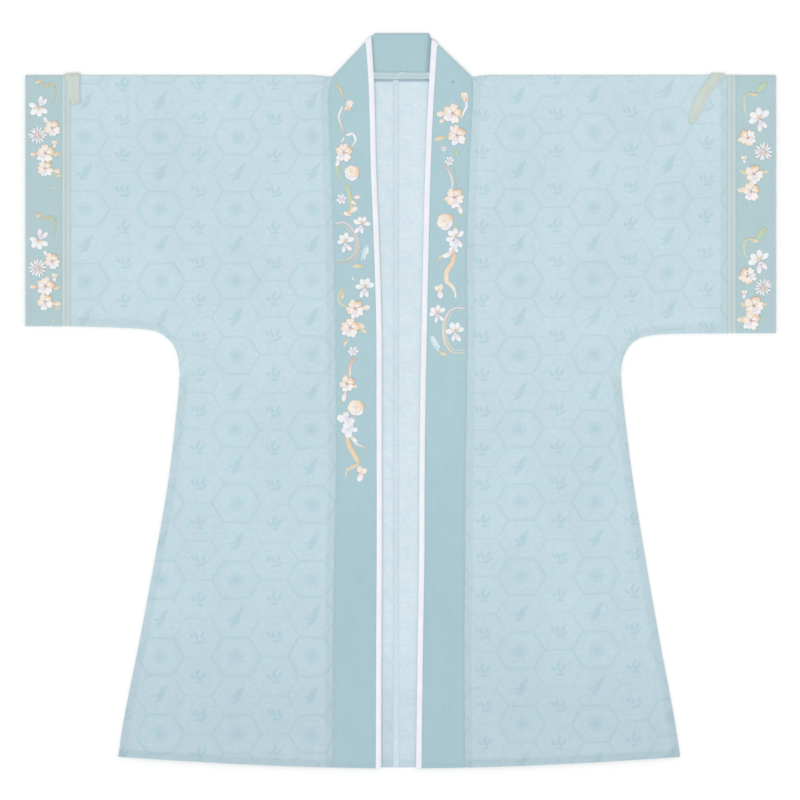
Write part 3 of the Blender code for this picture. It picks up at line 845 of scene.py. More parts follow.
def make_collar(material):
    """Make the collar band in one piece, turned over at both sides of the neck."""
    left = band_sections(LEFT)
    right = band_sections(RIGHT)
    stations = [(LEFT, section, section.along) for section in left]
    total = left[-1].along + right[-1].along
    stations += [(RIGHT, section, total - section.along) for section in right[-2::-1]]
    radius = 0.5 * BAND_TOP_AT_NECK

    def place(key):
        half, section, _ = stations[key[0]]
        width = section.seam.out - section.edge.out
        if section.zone == "neck":
            width = section.edge.y - section.seam.y
        line = BAND_LINES[key[1]]
        share = line.share + line.offset / width
        out = mix(section.seam.out, section.edge.out, share)
        y = mix(section.seam.y, section.edge.y, share)
        x = half.sign * out
        from_seam = share * width
        from_edge = (1.0 - share) * width
        if section.zone == "front":
            roll = 0.45 * near(from_seam, 1.8) + 0.3 * near(from_edge, 1.2)
            fade = ease(from_seam / 7.0) * ease(from_edge / 9.0) * ease((y - HEM_Y) / 6.0)
            hem = strip(y - HEM_Y, HEM_DEPTH)
            wave = 0.85 * RIPPLE_HEIGHT * ripple(1.6 * x, 0.8 * y, RIPPLE_SIZE)
            top = band_top(y) - roll + fade * wave + HEM_STEP * hem
            return Spot((x, y, top), (x, y, min(top - 0.4, band_top(y) - BAND_WALL)), (0.0, 0.0, hem))
        if section.zone == "neck":
            shadow = 0.95 * bead(x, edge_out(RIGHT, y) - 2.0, 3.4)
            shadow = max(shadow, 0.60 * bead(x, -edge_out(LEFT, y), 2.6))
            shadow = max(shadow, 0.75 * bead(from_edge, 0.0, 1.5))
            return Spot((x, y, 0.0), (x, y, NECK_BAND_TOP), (1.0, shadow, 0.0))
        pair = [fold_point(half, out, y, section.angle, reach) for reach in (radius, radius - BAND_WALL)]
        return Spot(*pair, (0.0, 0.0, 0.0))

    def cut(key):
        return on_line(BAND_LINES[key[1]], 0.0, BAND_CUT_WIDTH), stations[key[0]][2]

    cloth = Cloth()
    cloth.add_wall(grid_cells(len(stations) - 1, len(BAND_LINES) - 1), place, cut)
    piece = cloth.finish("collar_band", material)
    return piece, total - 2.0 * HEM_Y


def make_piping(half, material):
    """Make the soft white roll that binds the band's free edge, up to the neck fold."""
    sections = [section for section in band_sections(half) if section.zone != "neck"]
    sections = [section for section in sections if section.angle > PIPING_END or section.zone == "front"]
    radius = 0.5 * BAND_TOP_AT_NECK
    columns = 10
    roll_height = 1.45
    overhang = 0.5

    def place(key):
        section = sections[key[0]]
        width = section.seam.out - section.edge.out
        turn = math.pi * key[1] / columns
        across = 0.5 * PIPING_WIDTH * (1.0 - math.cos(turn))
        share = 1.0 - (PIPING_WIDTH - across * (1.0 + overhang / PIPING_WIDTH)) / width
        out = mix(section.seam.out, section.edge.out, share)
        inner_out = mix(section.seam.out, section.edge.out, min(share, 1.0))
        y = mix(section.seam.y, section.edge.y, share)
        base = band_top(y)
        puff = 1.0 + 0.05 * ripple(0.0, section.along + 40.0 * half.sign, 14.0)
        down = 0.9 * ease((across / PIPING_WIDTH - 0.82) / 0.18)
        slim = 1.0 - 0.65 * ease(1.0 - (sections[-1].along - section.along) / PIPING_SLIM_LENGTH)
        rise = 0.12 + roll_height * puff * slim * math.sin(turn) ** 0.7 - down
        sink = -0.32 * ease(across / PIPING_WIDTH) - down
        if section.zone == "front":
            outer = (half.sign * out, y, base + rise)
            inner = (half.sign * inner_out, y, base + sink)
            return Spot(outer, inner, (0.0, 0.0, 0.0))
        outer = fold_point(half, out, y, section.angle, radius + rise)
        inner = fold_point(half, inner_out, y, section.angle, radius + sink)
        return Spot(outer, inner, (0.0, 0.0, 0.0))

    def cut(key):
        return PIPING_WIDTH * key[1] / columns, sections[key[0]].along

    cloth = Cloth()
    cells = grid_cells(len(sections) - 1, columns, mirrored=half.sign < 0)
    cloth.add_wall(cells, place, cut)
    piece = cloth.finish(half.name + "_piping_roll", material, smooth_angle=80.0)
    return piece, sections[-1].along - sections[0].along


def make_neck_tape(material):
    """Make the tape over the back-neck seam, with its two stitched lines and its lapped ends."""
    middle_y = 0.5 * (NECK_TAPE_LOW_Y + NECK_TAPE_HIGH_Y)
    start = -edge_out(LEFT, middle_y)
    end = edge_out(RIGHT, middle_y)
    width = NECK_TAPE_HIGH_Y - NECK_TAPE_LOW_Y
    rows = 14
    columns = 34

    def tape_spot(x, across, base):
        rib = sum(0.3 * bead(across, middle, 0.07) for middle in NECK_TAPE_RIBS)
        y = mix(NECK_TAPE_LOW_Y, NECK_TAPE_HIGH_Y, across) + 0.35 * ripple(x, 0.0, 18.0)
        top = base + TAPE_WALL + rib
        return Spot((x, y, top), (x, y, base), (rib, 0.0, 0.0))

    def place(key):
        return tape_spot(mix(start, end, key[1] / columns), key[0] / rows, NECK_BAND_TOP + 0.05)

    def cut(key):
        return width * key[0] / rows, mix(start, end, key[1] / columns)

    lap_low = -7.5
    lap_high = -1.0

    def place_lap(key):
        across = key[0] / rows
        lean = mix(lap_low, lap_high, across)
        x = lean + (3.2 + 3.0 * across) * key[1] / 4
        spot = tape_spot(x, across, NECK_BAND_TOP + TAPE_WALL + 0.12)
        return Spot(spot.outer, spot.inner, (0.0, 1.0, 0.0))

    def cut_lap(key):
        return width * key[0] / rows, 5.0 * key[1] / 4

    cloth = Cloth()
    cloth.add_wall(grid_cells(rows, columns), place, cut)
    cloth.add_wall(grid_cells(rows, 4), place_lap, cut_lap)
    return cloth.finish("neck_seam_tape", material), end - start


# Each sleeve tape is a ribbon folded double: its two strands as shares of the pair's width
Strand = namedtuple("Strand", "start end top_start top_end lift short tint")
TIE_STRANDS = {
    "left": (
        Strand(start=0.02, end=0.60, top_start=0.00, top_end=0.66, lift=0.05, short=0.00, tint=0.2),
        Strand(start=0.44, end=1.00, top_start=0.40, top_end=1.00, lift=0.62, short=0.05, tint=0.9),
    ),
    "right": (
        Strand(start=0.30, end=1.00, top_start=0.46, top_end=1.00, lift=0.05, short=0.10, tint=0.9),
        Strand(start=0.00, end=0.62, top_start=0.00, top_end=0.62, lift=0.62, short=0.00, tint=0.2),
    ),
}


def make_tie(half, material):
    """Make a sleeve tape that lies on the front and hooks over the shoulder fold."""
    rows = 26
    hook_rows = 12
    columns = 6
    base_z = TRIM_TOP + 0.3
    hook_height = base_z - HOOK_CENTRE_Z + 0.4
    length = sum_lengths([read_curve(half.tie, step / rows)[:2] for step in range(rows + 1)])
    cloth = Cloth()
    for strand in TIE_STRANDS[half.name]:

        def place(key, strand=strand):
            share = min(key[0] / rows, 1.0)
            out, y, width = read_curve(half.tie, max(share, strand.short))
            low = mix(strand.start, strand.top_start, share)
            high = mix(strand.end, strand.top_end, share)
            across = mix(low, high, key[1] / columns) - 0.5
            lie = LAYER_TOP + PUFF_HEIGHT * ease((SHOULDER_Y - y) / LIFT_EDGE)
            z = max(lie, base_z - 0.2 * (1.0 - share)) + strand.lift
            z += 0.28 * math.sin(math.pi * key[1] / columns) + 0.25 * ripple(out, y + 50.0 * strand.lift, 9.0)
            normal = (0.0, 1.0)
            if key[0] > rows:
                turn = mix(0.5 * math.pi, HOOK_END, (key[0] - rows) / hook_rows)
                reach = HOOK_REACH - 0.6 + strand.lift
                z = HOOK_CENTRE_Z + (z - HOOK_CENTRE_Z) * math.sin(turn)
                y += reach * math.cos(turn)
                length_n = math.hypot(hook_height * math.cos(turn), reach * math.sin(turn))
                normal = (hook_height * math.cos(turn) / length_n, reach * math.sin(turn) / length_n)
            x = half.sign * out + width * across
            outer = (x, y + 0.5 * TAPE_WALL * normal[0], z + 0.5 * TAPE_WALL * normal[1])
            inner = (x, y - 0.5 * TAPE_WALL * normal[0], z - 0.5 * TAPE_WALL * normal[1])
            return Spot(outer, inner, (strand.tint, 0.0, 0.0))

        def cut(key):
            return 8.0 * key[1] / columns, length * key[0] / rows

        cloth.add_wall(grid_cells(rows + hook_rows, columns), place, cut)
    return cloth.finish(half.name + "_sleeve_tape", material), length


def sum_lengths(points):
    """Add up the lengths between neighbouring points."""
    return sum(math.dist(start, end) for start, end in zip(points, points[1:]))


def make_centre_seam(material):
    """Make the pressed allowance of the centre-back seam, which lies towards the left."""
    end = CENTRE_BACK_X + 0.9
    start = end - CENTRE_ALLOWANCE
    rows = 120
    columns = 6

    def place(key):
        y = mix(HEM_Y + BACK_HEM_LIFT + 0.5, NECK_SEAM_Y - 0.4, key[0] / rows)
        wander = 0.35 * ripple(0.0, y, 60.0)
        x = mix(start, end, key[1] / columns) + wander
        edge = bead(key[1] / columns, 0.0, 0.12)
        seam = bead(key[1] / columns, 1.0, 0.12)
        top = BODY_WALL + 0.05 + 0.42 + 0.16 * edge
        return Spot((x, y, top), (x, y, BODY_WALL + 0.02), (0.9 + 0.45 * seam, 0.5, 0.25 + 0.6 * edge))

    def cut(key):
        return mix(start, end, key[1] / columns), mix(HEM_Y, NECK_SEAM_Y, key[0] / rows)

    cloth = Cloth()
    cloth.add_wall(grid_cells(rows, columns), place, cut)
    return cloth.finish("centre_seam_allowance", material)


def finish_sheet(piece, replaced, flat):
    """Let a cloth piece ride, hide the part that it replaces and work out its cut, whose width and length are
    in millimetres; nothing uses the cut further.

    A narrower strip than the least cut width has the rest of it inside the seam.
    """
    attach(piece, BODY)
    if replaced:
        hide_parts(replaced)
    width, length = flat
    cut = (max(width, LEAST_CUT) * MILLIMETRE, length * MILLIMETRE)


# Base shapes for thread, modelled once and repeated
Shape = namedtuple("Shape", "points faces")
Lay = namedtuple("Lay", "x y z angle length width height bend")


def select_points(test):
    """Select the points of the edited mesh that pass a test."""
    mesh = bmesh.from_edit_mesh(bpy.context.object.data)
    for point in mesh.verts:
        point.select = test(point.co)
    mesh.select_flush_mode()
    bmesh.update_edit_mesh(bpy.context.object.data)


def take_shape():
    """Read the modelled object as a base shape and remove it."""
    piece = bpy.context.object
    bpy.ops.object.mode_set(mode="OBJECT")
    shape = Shape(
        [point.co.copy() for point in piece.data.vertices],
        [list(face.vertices) for face in piece.data.polygons],
    )
    bpy.data.objects.remove(piece)
    return shape


def model_petal():
    """Model a padded satin-stitch petal, 1 long, 1 wide and 1 high, from its base to +Y."""
    bpy.ops.mesh.primitive_uv_sphere_add(segments=12, ring_count=8, radius=0.5)
    bpy.ops.object.mode_set(mode="EDIT")
    bpy.ops.mesh.select_all(action="SELECT")
    bpy.ops.transform.rotate(value=math.pi / 2, orient_axis="X", center_override=(0.0, 0.0, 0.0))
    bpy.ops.transform.translate(value=(0.0, 0.5, 0.0))
    select_points(lambda place: place.y < 0.34)
    bpy.ops.transform.resize(value=(0.62, 1.0, 0.8), center_override=(0.0, 0.0, 0.0))
    select_points(lambda place: place.z < 0.01)
    bpy.ops.transform.resize(value=(1.0, 1.0, 0.25), center_override=(0.0, 0.0, 0.0))
    select_points(lambda place: place.z > 0.3 and abs(place.x) < 0.06)
    bpy.ops.transform.translate(value=(0.0, 0.0, -0.09))
    bpy.ops.mesh.select_all(action="SELECT")
    bpy.ops.transform.resize(value=(1.0, 1.0, 2.0), center_override=(0.0, 0.0, 0.0))
    return take_shape()


def model_stitch():
    """Model a single laid stitch, 1 long, 1 wide and 1 high, along Y about its middle."""
    bpy.ops.mesh.primitive_cylinder_add(vertices=6, radius=0.5, depth=1.0)
    bpy.ops.object.mode_set(mode="EDIT")
    bpy.ops.mesh.select_all(action="SELECT")
    bpy.ops.transform.rotate(value=math.pi / 2, orient_axis="X", center_override=(0.0, 0.0, 0.0))
    select_points(lambda place: abs(place.y) > 0.4)
    bpy.ops.mesh.bevel(offset=0.22, segments=1, affect="EDGES")
    select_points(lambda place: abs(place.y) > 0.45)
    bpy.ops.transform.resize(value=(0.6, 1.0, 0.6), center_override=(0.0, 0.0, 0.0))
    return take_shape()


class Thread:
    """Gathers copies of base shapes into one mesh, each bent, coloured and laid in its place."""

    def __init__(self):
        self.points = []
        self.faces = []
        self.tints = []
        self.runs = []

    def add(self, shape, lay, base_colour, tip_colour):
        """Add a copy that runs from its place along its angle."""
        first = len(self.points)
        angle = math.radians(lay.angle)
        runs = []
        low = min(point.y for point in shape.points)
        for point in shape.points:
            along = point.y * lay.length
            across = point.x * lay.width
            turn = angle + math.radians(lay.bend) * (point.y - low - 0.5)
            x = lay.x + along * math.cos(turn) + across * math.sin(turn)
            y = lay.y + along * math.sin(turn) - across * math.cos(turn)
            self.points.append((x, y, lay.z + point.z * lay.height))
            share = ease(point.y - low)
            self.tints.append([mix(a, b, share) for a, b in zip(base_colour, tip_colour)])
            runs.append((across, along))
        for face in shape.faces:
            self.faces.append([first + corner for corner in face])
            self.runs.extend(runs[corner] for corner in face)

    def finish(self, name, material):
        """Make the mesh and its object, and let it ride."""
        piece = build_piece(name, self.points, self.faces, self.runs, self.tints, material)
        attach(piece, BODY)
        return piece


def to_linear(value):
    """Turn one display value of 0 to 255 into scene light."""
    value /= 255.0
    return value / 12.92 if value <= 0.04045 else ((value + 0.055) / 1.055) ** 2.4


def paint(red, green, blue):
    """Turn a display colour into the surface colour that shows it under this scene's light."""
    return tuple(to_linear(value) / LIGHT_LEVEL for value in (red, green, blue))


THREAD = {
    "white": paint(254, 253, 255),
    "snow": paint(240, 246, 250),
    "cream": paint(254, 246, 234),
    "peach": paint(253, 238, 223),
    "apricot": paint(251, 229, 206),
    "orange": paint(248, 214, 178),
    "gold": paint(226, 214, 175),
    "straw": paint(236, 228, 200),
    "pink": paint(245, 221, 214),
    "rose": paint(230, 191, 172),
    "lilac": paint(228, 222, 236),
    "leaf": paint(205, 222, 176),
    "moss": paint(192, 211, 188),
    "sky": paint(205, 233, 241),
    "tan": paint(214, 202, 188),
    "mist": paint(190, 213, 208),
    "ink_blue": paint(120, 168, 190),
}

PetalRow = namedtuple("PetalRow", "angle start length width base tip")
Motif = namedtuple("Motif", "kind out y size turn")
Stem = namedtuple("Stem", "width start end route")

def notched(angle, length, width, outside, inside):
    """List the rows of one notched petal: two rounded lobes, and a lighter middle laid over them."""
    return (
        PetalRow(angle - 14, 0.05, length, width, inside, outside),
        PetalRow(angle + 13, 0.05, 0.92 * length, 0.92 * width, inside, outside),
        PetalRow(angle, 0.04, 0.74 * length, 0.70 * width, "white", inside),
    )


# Flowers: petals from the lowest laid to the highest. Start, length and width are shares of the
# flower's diameter, and the two colours are the petal's base and its tip.
FLOWERS = {
    "blossom": (
        *notched(92, 0.51, 0.32, "peach", "cream"),
        *notched(163, 0.48, 0.32, "apricot", "white"),
        *notched(234, 0.50, 0.30, "white", "lilac"),
        *notched(300, 0.51, 0.32, "cream", "white"),
        *notched(20, 0.47, 0.33, "orange", "cream"),
        PetalRow(54, 0.00, 0.26, 0.08, "rose", "peach"),
        PetalRow(128, 0.00, 0.24, 0.08, "rose", "cream"),
        PetalRow(200, 0.00, 0.24, 0.08, "pink", "cream"),
        PetalRow(270, 0.00, 0.26, 0.08, "rose", "cream"),
        PetalRow(340, 0.00, 0.24, 0.08, "rose", "gold"),
    ),
    "lily": (
        PetalRow(72, 0.03, 0.52, 0.33, "snow", "white"),
        PetalRow(20, 0.04, 0.52, 0.31, "snow", "white"),
        PetalRow(126, 0.04, 0.48, 0.34, "snow", "white"),
        PetalRow(178, 0.04, 0.48, 0.31, "snow", "white"),
        PetalRow(252, 0.05, 0.58, 0.27, "lilac", "white"),
        PetalRow(294, 0.05, 0.54, 0.27, "lilac", "white"),
        PetalRow(100, -0.02, 0.28, 0.12, "rose", "peach"),
        PetalRow(160, -0.02, 0.25, 0.12, "pink", "peach"),
        PetalRow(40, -0.02, 0.27, 0.12, "rose", "straw"),
        PetalRow(260, -0.02, 0.24, 0.10, "pink", "white"),
    ),
    "rose": (
        PetalRow(20, 0.10, 0.40, 0.56, "peach", "apricot"),
        PetalRow(84, 0.10, 0.39, 0.56, "cream", "peach"),
        PetalRow(148, 0.10, 0.40, 0.56, "cream", "cream"),
        PetalRow(212, 0.10, 0.40, 0.56, "lilac", "cream"),
        PetalRow(274, 0.10, 0.40, 0.56, "lilac", "white"),
        PetalRow(332, 0.10, 0.40, 0.56, "peach", "orange"),
        PetalRow(50, -0.04, 0.36, 0.44, "peach", "peach"),
        PetalRow(176, -0.04, 0.34, 0.42, "white", "cream"),
        PetalRow(292, -0.04, 0.34, 0.42, "apricot", "cream"),
        PetalRow(120, -0.12, 0.28, 0.24, "apricot", "pink"),
    ),
    "star": tuple(
        PetalRow(60 * step, 0.02, 0.48, 0.32, "lilac", "white")
        for step in range(6)
    )
    + (PetalRow(90, -0.10, 0.20, 0.20, "pink", "cream"),),
    "daisy": tuple(
        PetalRow(27.7 * step, 0.06, 0.43, 0.130, base, "white")
        for step, base in enumerate(("lilac", "snow", "lilac", "pink") * 3 + ("straw",))
    )
    + (PetalRow(90, -0.10, 0.20, 0.20, "straw", "pink"),),
    "bud": (
        PetalRow(66, -0.42, 0.84, 0.46, "peach", "cream"),
        PetalRow(114, -0.42, 0.84, 0.46, "orange", "peach"),
        PetalRow(88, -0.46, 0.92, 0.34, "rose", "white"),
    ),
    "drop": (
        PetalRow(50, -0.12, 0.60, 0.44, "peach", "cream"),
        PetalRow(130, -0.12, 0.60, 0.42, "apricot", "cream"),
        PetalRow(268, -0.14, 0.74, 0.44, "pink", "white"),
        PetalRow(92, -0.06, 0.30, 0.11, "rose", "straw"),
    ),
    "white_pair": (
        PetalRow(156, -0.10, 0.68, 0.50, "snow", "white"),
        PetalRow(92, -0.06, 0.60, 0.42, "lilac", "white"),
        PetalRow(350, -0.06, 0.66, 0.44, "lilac", "white"),
        PetalRow(262, -0.06, 0.58, 0.40, "snow", "white"),
        PetalRow(40, -0.05, 0.26, 0.12, "sky", "snow"),
    ),
    "petal": (PetalRow(0, -0.5, 1.0, 0.42, "pink", "white"),),
    "peach_petal": (PetalRow(0, -0.5, 1.0, 0.58, "orange", "peach"),),
    "cream_petal": (PetalRow(0, -0.5, 1.0, 0.60, "apricot", "cream"),),
    "gold_leaf": (PetalRow(0, -0.5, 1.0, 0.40, "gold", "straw"),),
    "green_leaf": (PetalRow(0, -0.5, 1.0, 0.46, "leaf", "moss"),),
    "sky_leaf": (
        PetalRow(0, -0.5, 1.0, 0.42, "sky", "sky"),
        PetalRow(24, -0.34, 0.60, 0.26, "snow", "sky"),
        PetalRow(-22, -0.30, 0.56, 0.24, "sky", "snow"),
        PetalRow(4, -0.20, 0.58, 0.14, "snow", "white"),
    ),
    "dash": (PetalRow(0, -0.5, 1.0, 0.50, "ink_blue", "sky"),),
}

# Sprays along the collar bands, from the shoulder down
LEFT_SPRAY = (
    Motif("bud", 67.5, 384.0, 19.0, -14),
    Motif("blossom", 73.5, 322.5, 22.5, 4),
    Motif("petal", 80.5, 311.0, 14.0, 256),
    Motif("green_leaf", 82.5, 301.5, 10.0, 300),
    Motif("rose", 63.5, 296.5, 20.5, 15),
    Motif("green_leaf", 69.5, 277.5, 11.5, 245),
    Motif("star", 76.5, 262.0, 13.5, 12),
    Motif("cream_petal", 57.0, 265.0, 10.5, 14),
    Motif("cream_petal", 61.0, 257.0, 9.5, 150),
    Motif("cream_petal", 61.5, 247.5, 11.5, 40),
    Motif("cream_petal", 69.5, 242.5, 11.0, 166),
    Motif("lily", 50.5, 229.5, 21.0, -16),
    Motif("lily", 72.0, 206.0, 21.5, 4),
    Motif("sky_leaf", 46.0, 191.0, 22.0, 62),
    Motif("gold_leaf", 54.0, 175.0, 14.5, 184),
    Motif("petal", 61.5, 158.0, 6.5, 128),
    Motif("lily", 46.5, 147.5, 22.0, -4),
    Motif("gold_leaf", 74.5, 138.0, 11.0, 250),
    Motif("blossom", 59.0, 119.5, 23.0, 36),
    Motif("cream_petal", 45.0, 121.0, 13.0, 8),
    Motif("blossom", 65.0, 94.5, 24.0, 4),
    Motif("gold_leaf", 48.5, 92.0, 15.0, 330),
    Motif("peach_petal", 53.0, 98.0, 13.0, 330),
    Motif("gold_leaf", 71.0, 76.5, 11.5, 236),
    Motif("star", 61.5, 64.0, 13.0, 0),
    Motif("blossom", 69.5, 21.5, 20.0, 20),
    Motif("peach_petal", 60.0, 19.0, 9.5, 350),
    Motif("petal", 73.5, 5.5, 17.0, 252),
    Motif("green_leaf", 77.5, -1.5, 7.5, 12),
    Motif("rose", 58.0, -9.5, 21.0, 40),
    Motif("green_leaf", 71.0, -16.5, 7.0, 300),
    Motif("white_pair", 70.5, -25.5, 21.0, 2),
    Motif("white_pair", 65.0, -38.0, 20.0, 96),
    Motif("petal", 60.5, -49.5, 11.0, 316),
    Motif("drop", 51.0, -94.0, 20.5, -14),
)
LEFT_STEMS = (
    Stem(3.4, "gold", "tan", ((83.0, 409.0), (78.5, 405.0), (75.5, 398.5), (73.5, 390.0))),
    Stem(2.6, "white", "tan", ((76.0, 381.5), (80.0, 369.0), (76.5, 357.0), (74.0, 349.0), (71.5, 343.5))),
    Stem(2.8, "white", "snow", ((69.5, 344.5), (62.5, 346.5), (58.5, 338.5), (63.5, 329.5))),
    Stem(2.3, "white", "tan", ((74.0, 341.0), (77.0, 333.5))),
    Stem(2.0, "leaf", "leaf", ((80.5, 309.0), (82.5, 300.0), (79.5, 290.0), (74.5, 284.0))),
    Stem(3.6, "leaf", "gold", ((69.0, 280.0), (66.5, 268.0), (64.0, 257.0), (65.0, 248.0), (71.0, 241.0))),
    Stem(2.9, "lilac", "tan", (
        (84.0, 230.0), (73.5, 231.5), (63.5, 224.0), (55.0, 207.0),
        (56.0, 192.0), (66.0, 180.5), (84.0, 178.5),
    )),
    Stem(2.2, "mist", "straw", (
        (84.0, 226.6), (74.5, 228.0), (66.2, 221.0), (58.4, 206.5),
        (59.2, 194.0), (67.8, 184.4), (84.0, 182.2),
    )),
    Stem(2.3, "gold", "straw", ((75.5, 146.0), (80.5, 135.0), (78.0, 126.0), (69.5, 121.0))),
    Stem(2.2, "tan", "gold", ((62.5, 57.0), (66.0, 48.0), (68.5, 38.0), (68.0, 28.0))),
    Stem(2.9, "rose", "snow", ((57.5, 54.5), (64.5, 47.5), (65.5, 36.0), (65.0, 27.0))),
    Stem(5.4, "orange", "straw", (
        (69.5, -47.0), (66.5, -59.0), (60.5, -69.5), (56.0, -80.5),
        (62.5, -86.5), (69.5, -91.0), (71.0, -98.5),
    )),
    Stem(3.1, "snow", "tan", ((64.0, -48.0), (57.0, -56.0), (46.5, -61.0), (44.5, -66.0))),
)
RIGHT_SPRAY = (
    Motif("dash", 68.5, 415.5, 7.5, 62),
    Motif("bud", 84.0, 394.0, 15.5, 12),
    Motif("blossom", 68.0, 373.0, 24.0, -12),
    Motif("cream_petal", 53.0, 372.5, 14.5, 186),
    Motif("peach_petal", 54.5, 364.0, 11.0, 215),
    Motif("blossom", 73.5, 344.5, 24.0, 22),
    Motif("petal", 66.0, 352.0, 12.0, 96),
    Motif("gold_leaf", 52.5, 341.0, 16.5, 196),
    Motif("star", 56.5, 327.5, 7.5, 20),
    Motif("green_leaf", 73.5, 322.0, 12.0, 292),
    Motif("star", 63.5, 311.5, 12.5, 5),
    Motif("blossom", 70.5, 264.0, 24.5, 46),
    Motif("petal", 77.0, 250.0, 14.5, 288),
    Motif("green_leaf", 80.0, 240.5, 7.0, 80),
    Motif("rose", 58.0, 233.0, 22.0, 60),
    Motif("green_leaf", 72.5, 225.0, 10.5, 330),
    Motif("lily", 71.5, 212.0, 24.0, 14),
    Motif("white_pair", 69.0, 199.5, 15.0, -40),
    Motif("drop", 50.5, 143.5, 18.5, 14),
    Motif("lily", 48.0, 113.5, 21.5, 12),
    Motif("lily", 71.5, 90.0, 23.0, -2),
    Motif("sky_leaf", 45.5, 75.0, 25.0, 110),
    Motif("gold_leaf", 54.5, 61.5, 13.5, -22),
    Motif("petal", 62.5, 190.5, 17.0, 208),
)
RIGHT_STEMS = (
    Stem(2.6, "white", "snow", ((85.5, 389.0), (85.5, 382.0), (81.5, 374.0), (78.0, 366.0))),
    Stem(3.0, "tan", "snow", ((56.0, 306.5), (63.0, 298.0), (67.0, 286.0), (67.0, 274.0))),
    Stem(2.4, "mist", "moss", ((71.0, 312.0), (73.0, 296.0), (72.5, 280.0))),
    Stem(3.3, "snow", "gold", ((67.5, 196.0), (60.0, 190.5), (52.0, 187.0), (47.0, 181.0))),
    Stem(5.4, "orange", "cream", (
        (70.5, 191.0), (67.0, 179.0), (60.5, 168.0), (60.0, 156.0),
        (66.5, 148.5), (71.0, 140.0), (71.5, 134.0),
    )),
    Stem(2.9, "lilac", "straw", (
        (83.0, 119.5), (71.5, 120.5), (61.5, 113.0), (55.5, 97.0),
        (57.5, 76.0), (68.0, 62.5), (83.0, 62.5),
    )),
    Stem(2.2, "mist", "straw", (
        (83.0, 116.4), (72.4, 117.4), (64.2, 110.6), (58.8, 96.0),
        (60.4, 78.0), (69.4, 66.0), (83.0, 65.8),
    )),
)

# One repeat of the cuff sprays; the second one starts lower down the cuff
LEFT_CUFF_SPRAY = (
    Motif("gold_leaf", 470.0, 414.0, 11.0, 200),
    Motif("green_leaf", 453.5, 410.0, 8.0, 240),
    Motif("lily", 469.5, 381.5, 25.0, 150),
    Motif("blossom", 452.5, 354.0, 20.0, 40),
    Motif("petal", 460.5, 363.0, 11.0, 130),
    Motif("daisy", 471.5, 345.0, 24.0, 8),
    Motif("drop", 449.5, 334.0, 10.0, 0),
    Motif("blossom", 461.5, 321.5, 23.0, 0),
    Motif("peach_petal", 476.5, 320.5, 9.0, 184),
    Motif("gold_leaf", 445.5, 320.0, 12.5, 200),
    Motif("blossom", 462.0, 301.5, 20.0, 30),
    Motif("peach_petal", 447.5, 298.5, 12.0, -4),
    Motif("gold_leaf", 446.0, 292.5, 10.0, 10),
)
LEFT_CUFF_STEMS = (
    Stem(3.4, "tan", "moss", (
        (474.0, 417.0), (463.0, 409.5), (454.5, 411.5), (449.0, 403.5), (451.5, 386.0),
    )),
    Stem(1.9, "tan", "straw", ((455.0, 279.0), (449.5, 275.5))),
)
RIGHT_CUFF_SPRAY = (
    Motif("green_leaf", 469.0, 408.0, 18.5, 55),
    Motif("gold_leaf", 459.0, 397.5, 13.0, 350),
    Motif("lily", 466.5, 366.0, 27.0, 20),
    Motif("blossom", 451.5, 341.5, 22.0, 120),
    Motif("daisy", 471.5, 323.5, 24.0, 0),
    Motif("drop", 447.0, 314.0, 10.5, 0),
    Motif("blossom", 459.5, 294.5, 24.0, 60),
    Motif("gold_leaf", 472.5, 296.5, 10.0, 10),
    Motif("gold_leaf", 446.5, 295.5, 11.0, 150),
    Motif("blossom", 455.5, 271.5, 23.0, 10),
    Motif("peach_petal", 443.2, 273.0, 12.5, 184),
)
RIGHT_CUFF_STEMS = (
    Stem(2.8, "moss", "straw", (
        (462.0, 399.0), (453.0, 399.5), (447.0, 393.0), (447.5, 376.0), (450.5, 370.0),
    )),
)
LEFT_CUFF_REPEAT = 173.0
LEFT_CUFF_SQUEEZE = 0.0
RIGHT_CUFF_REPEAT = 176.3
RIGHT_CUFF_SQUEEZE = 0.17
CUFF_SPRAY_MIDDLE_Y = 323.0


def walk(points, marks, count):
    """Walk through points, and give the place and heading at each mark. Count marks the far end."""
    lengths = [math.dist(start, end) for start, end in zip(points, points[1:])]
    total = sum(lengths)
    places = []
    gone = 0.0
    step = 0
    for mark in marks:
        goal = total * mark / count
        while step < len(lengths) - 1 and gone + lengths[step] < goal:
            gone += lengths[step]
            step += 1
        start = points[step]
        end = points[step + 1]
        share = min((goal - gone) / lengths[step], 1.0)
        place = [mix(a, b, share) for a, b in zip(start, end)]
        places.append((place, math.atan2(end[1] - start[1], end[0] - start[0])))
    return places


def smooth_route(route, spacing):
    """Walk a smooth curve through a route's points in even steps."""
    rows = [(float(step), *point) for step, point in enumerate(route)]
    fine = CURVE_STEPS * (len(route) - 1)
    curve = [read_curve(rows, step * (len(route) - 1) / fine) for step in range(fine + 1)]
    count = max(int(sum_lengths(curve) / spacing), 2)
    return walk(curve, range(count + 1), count)


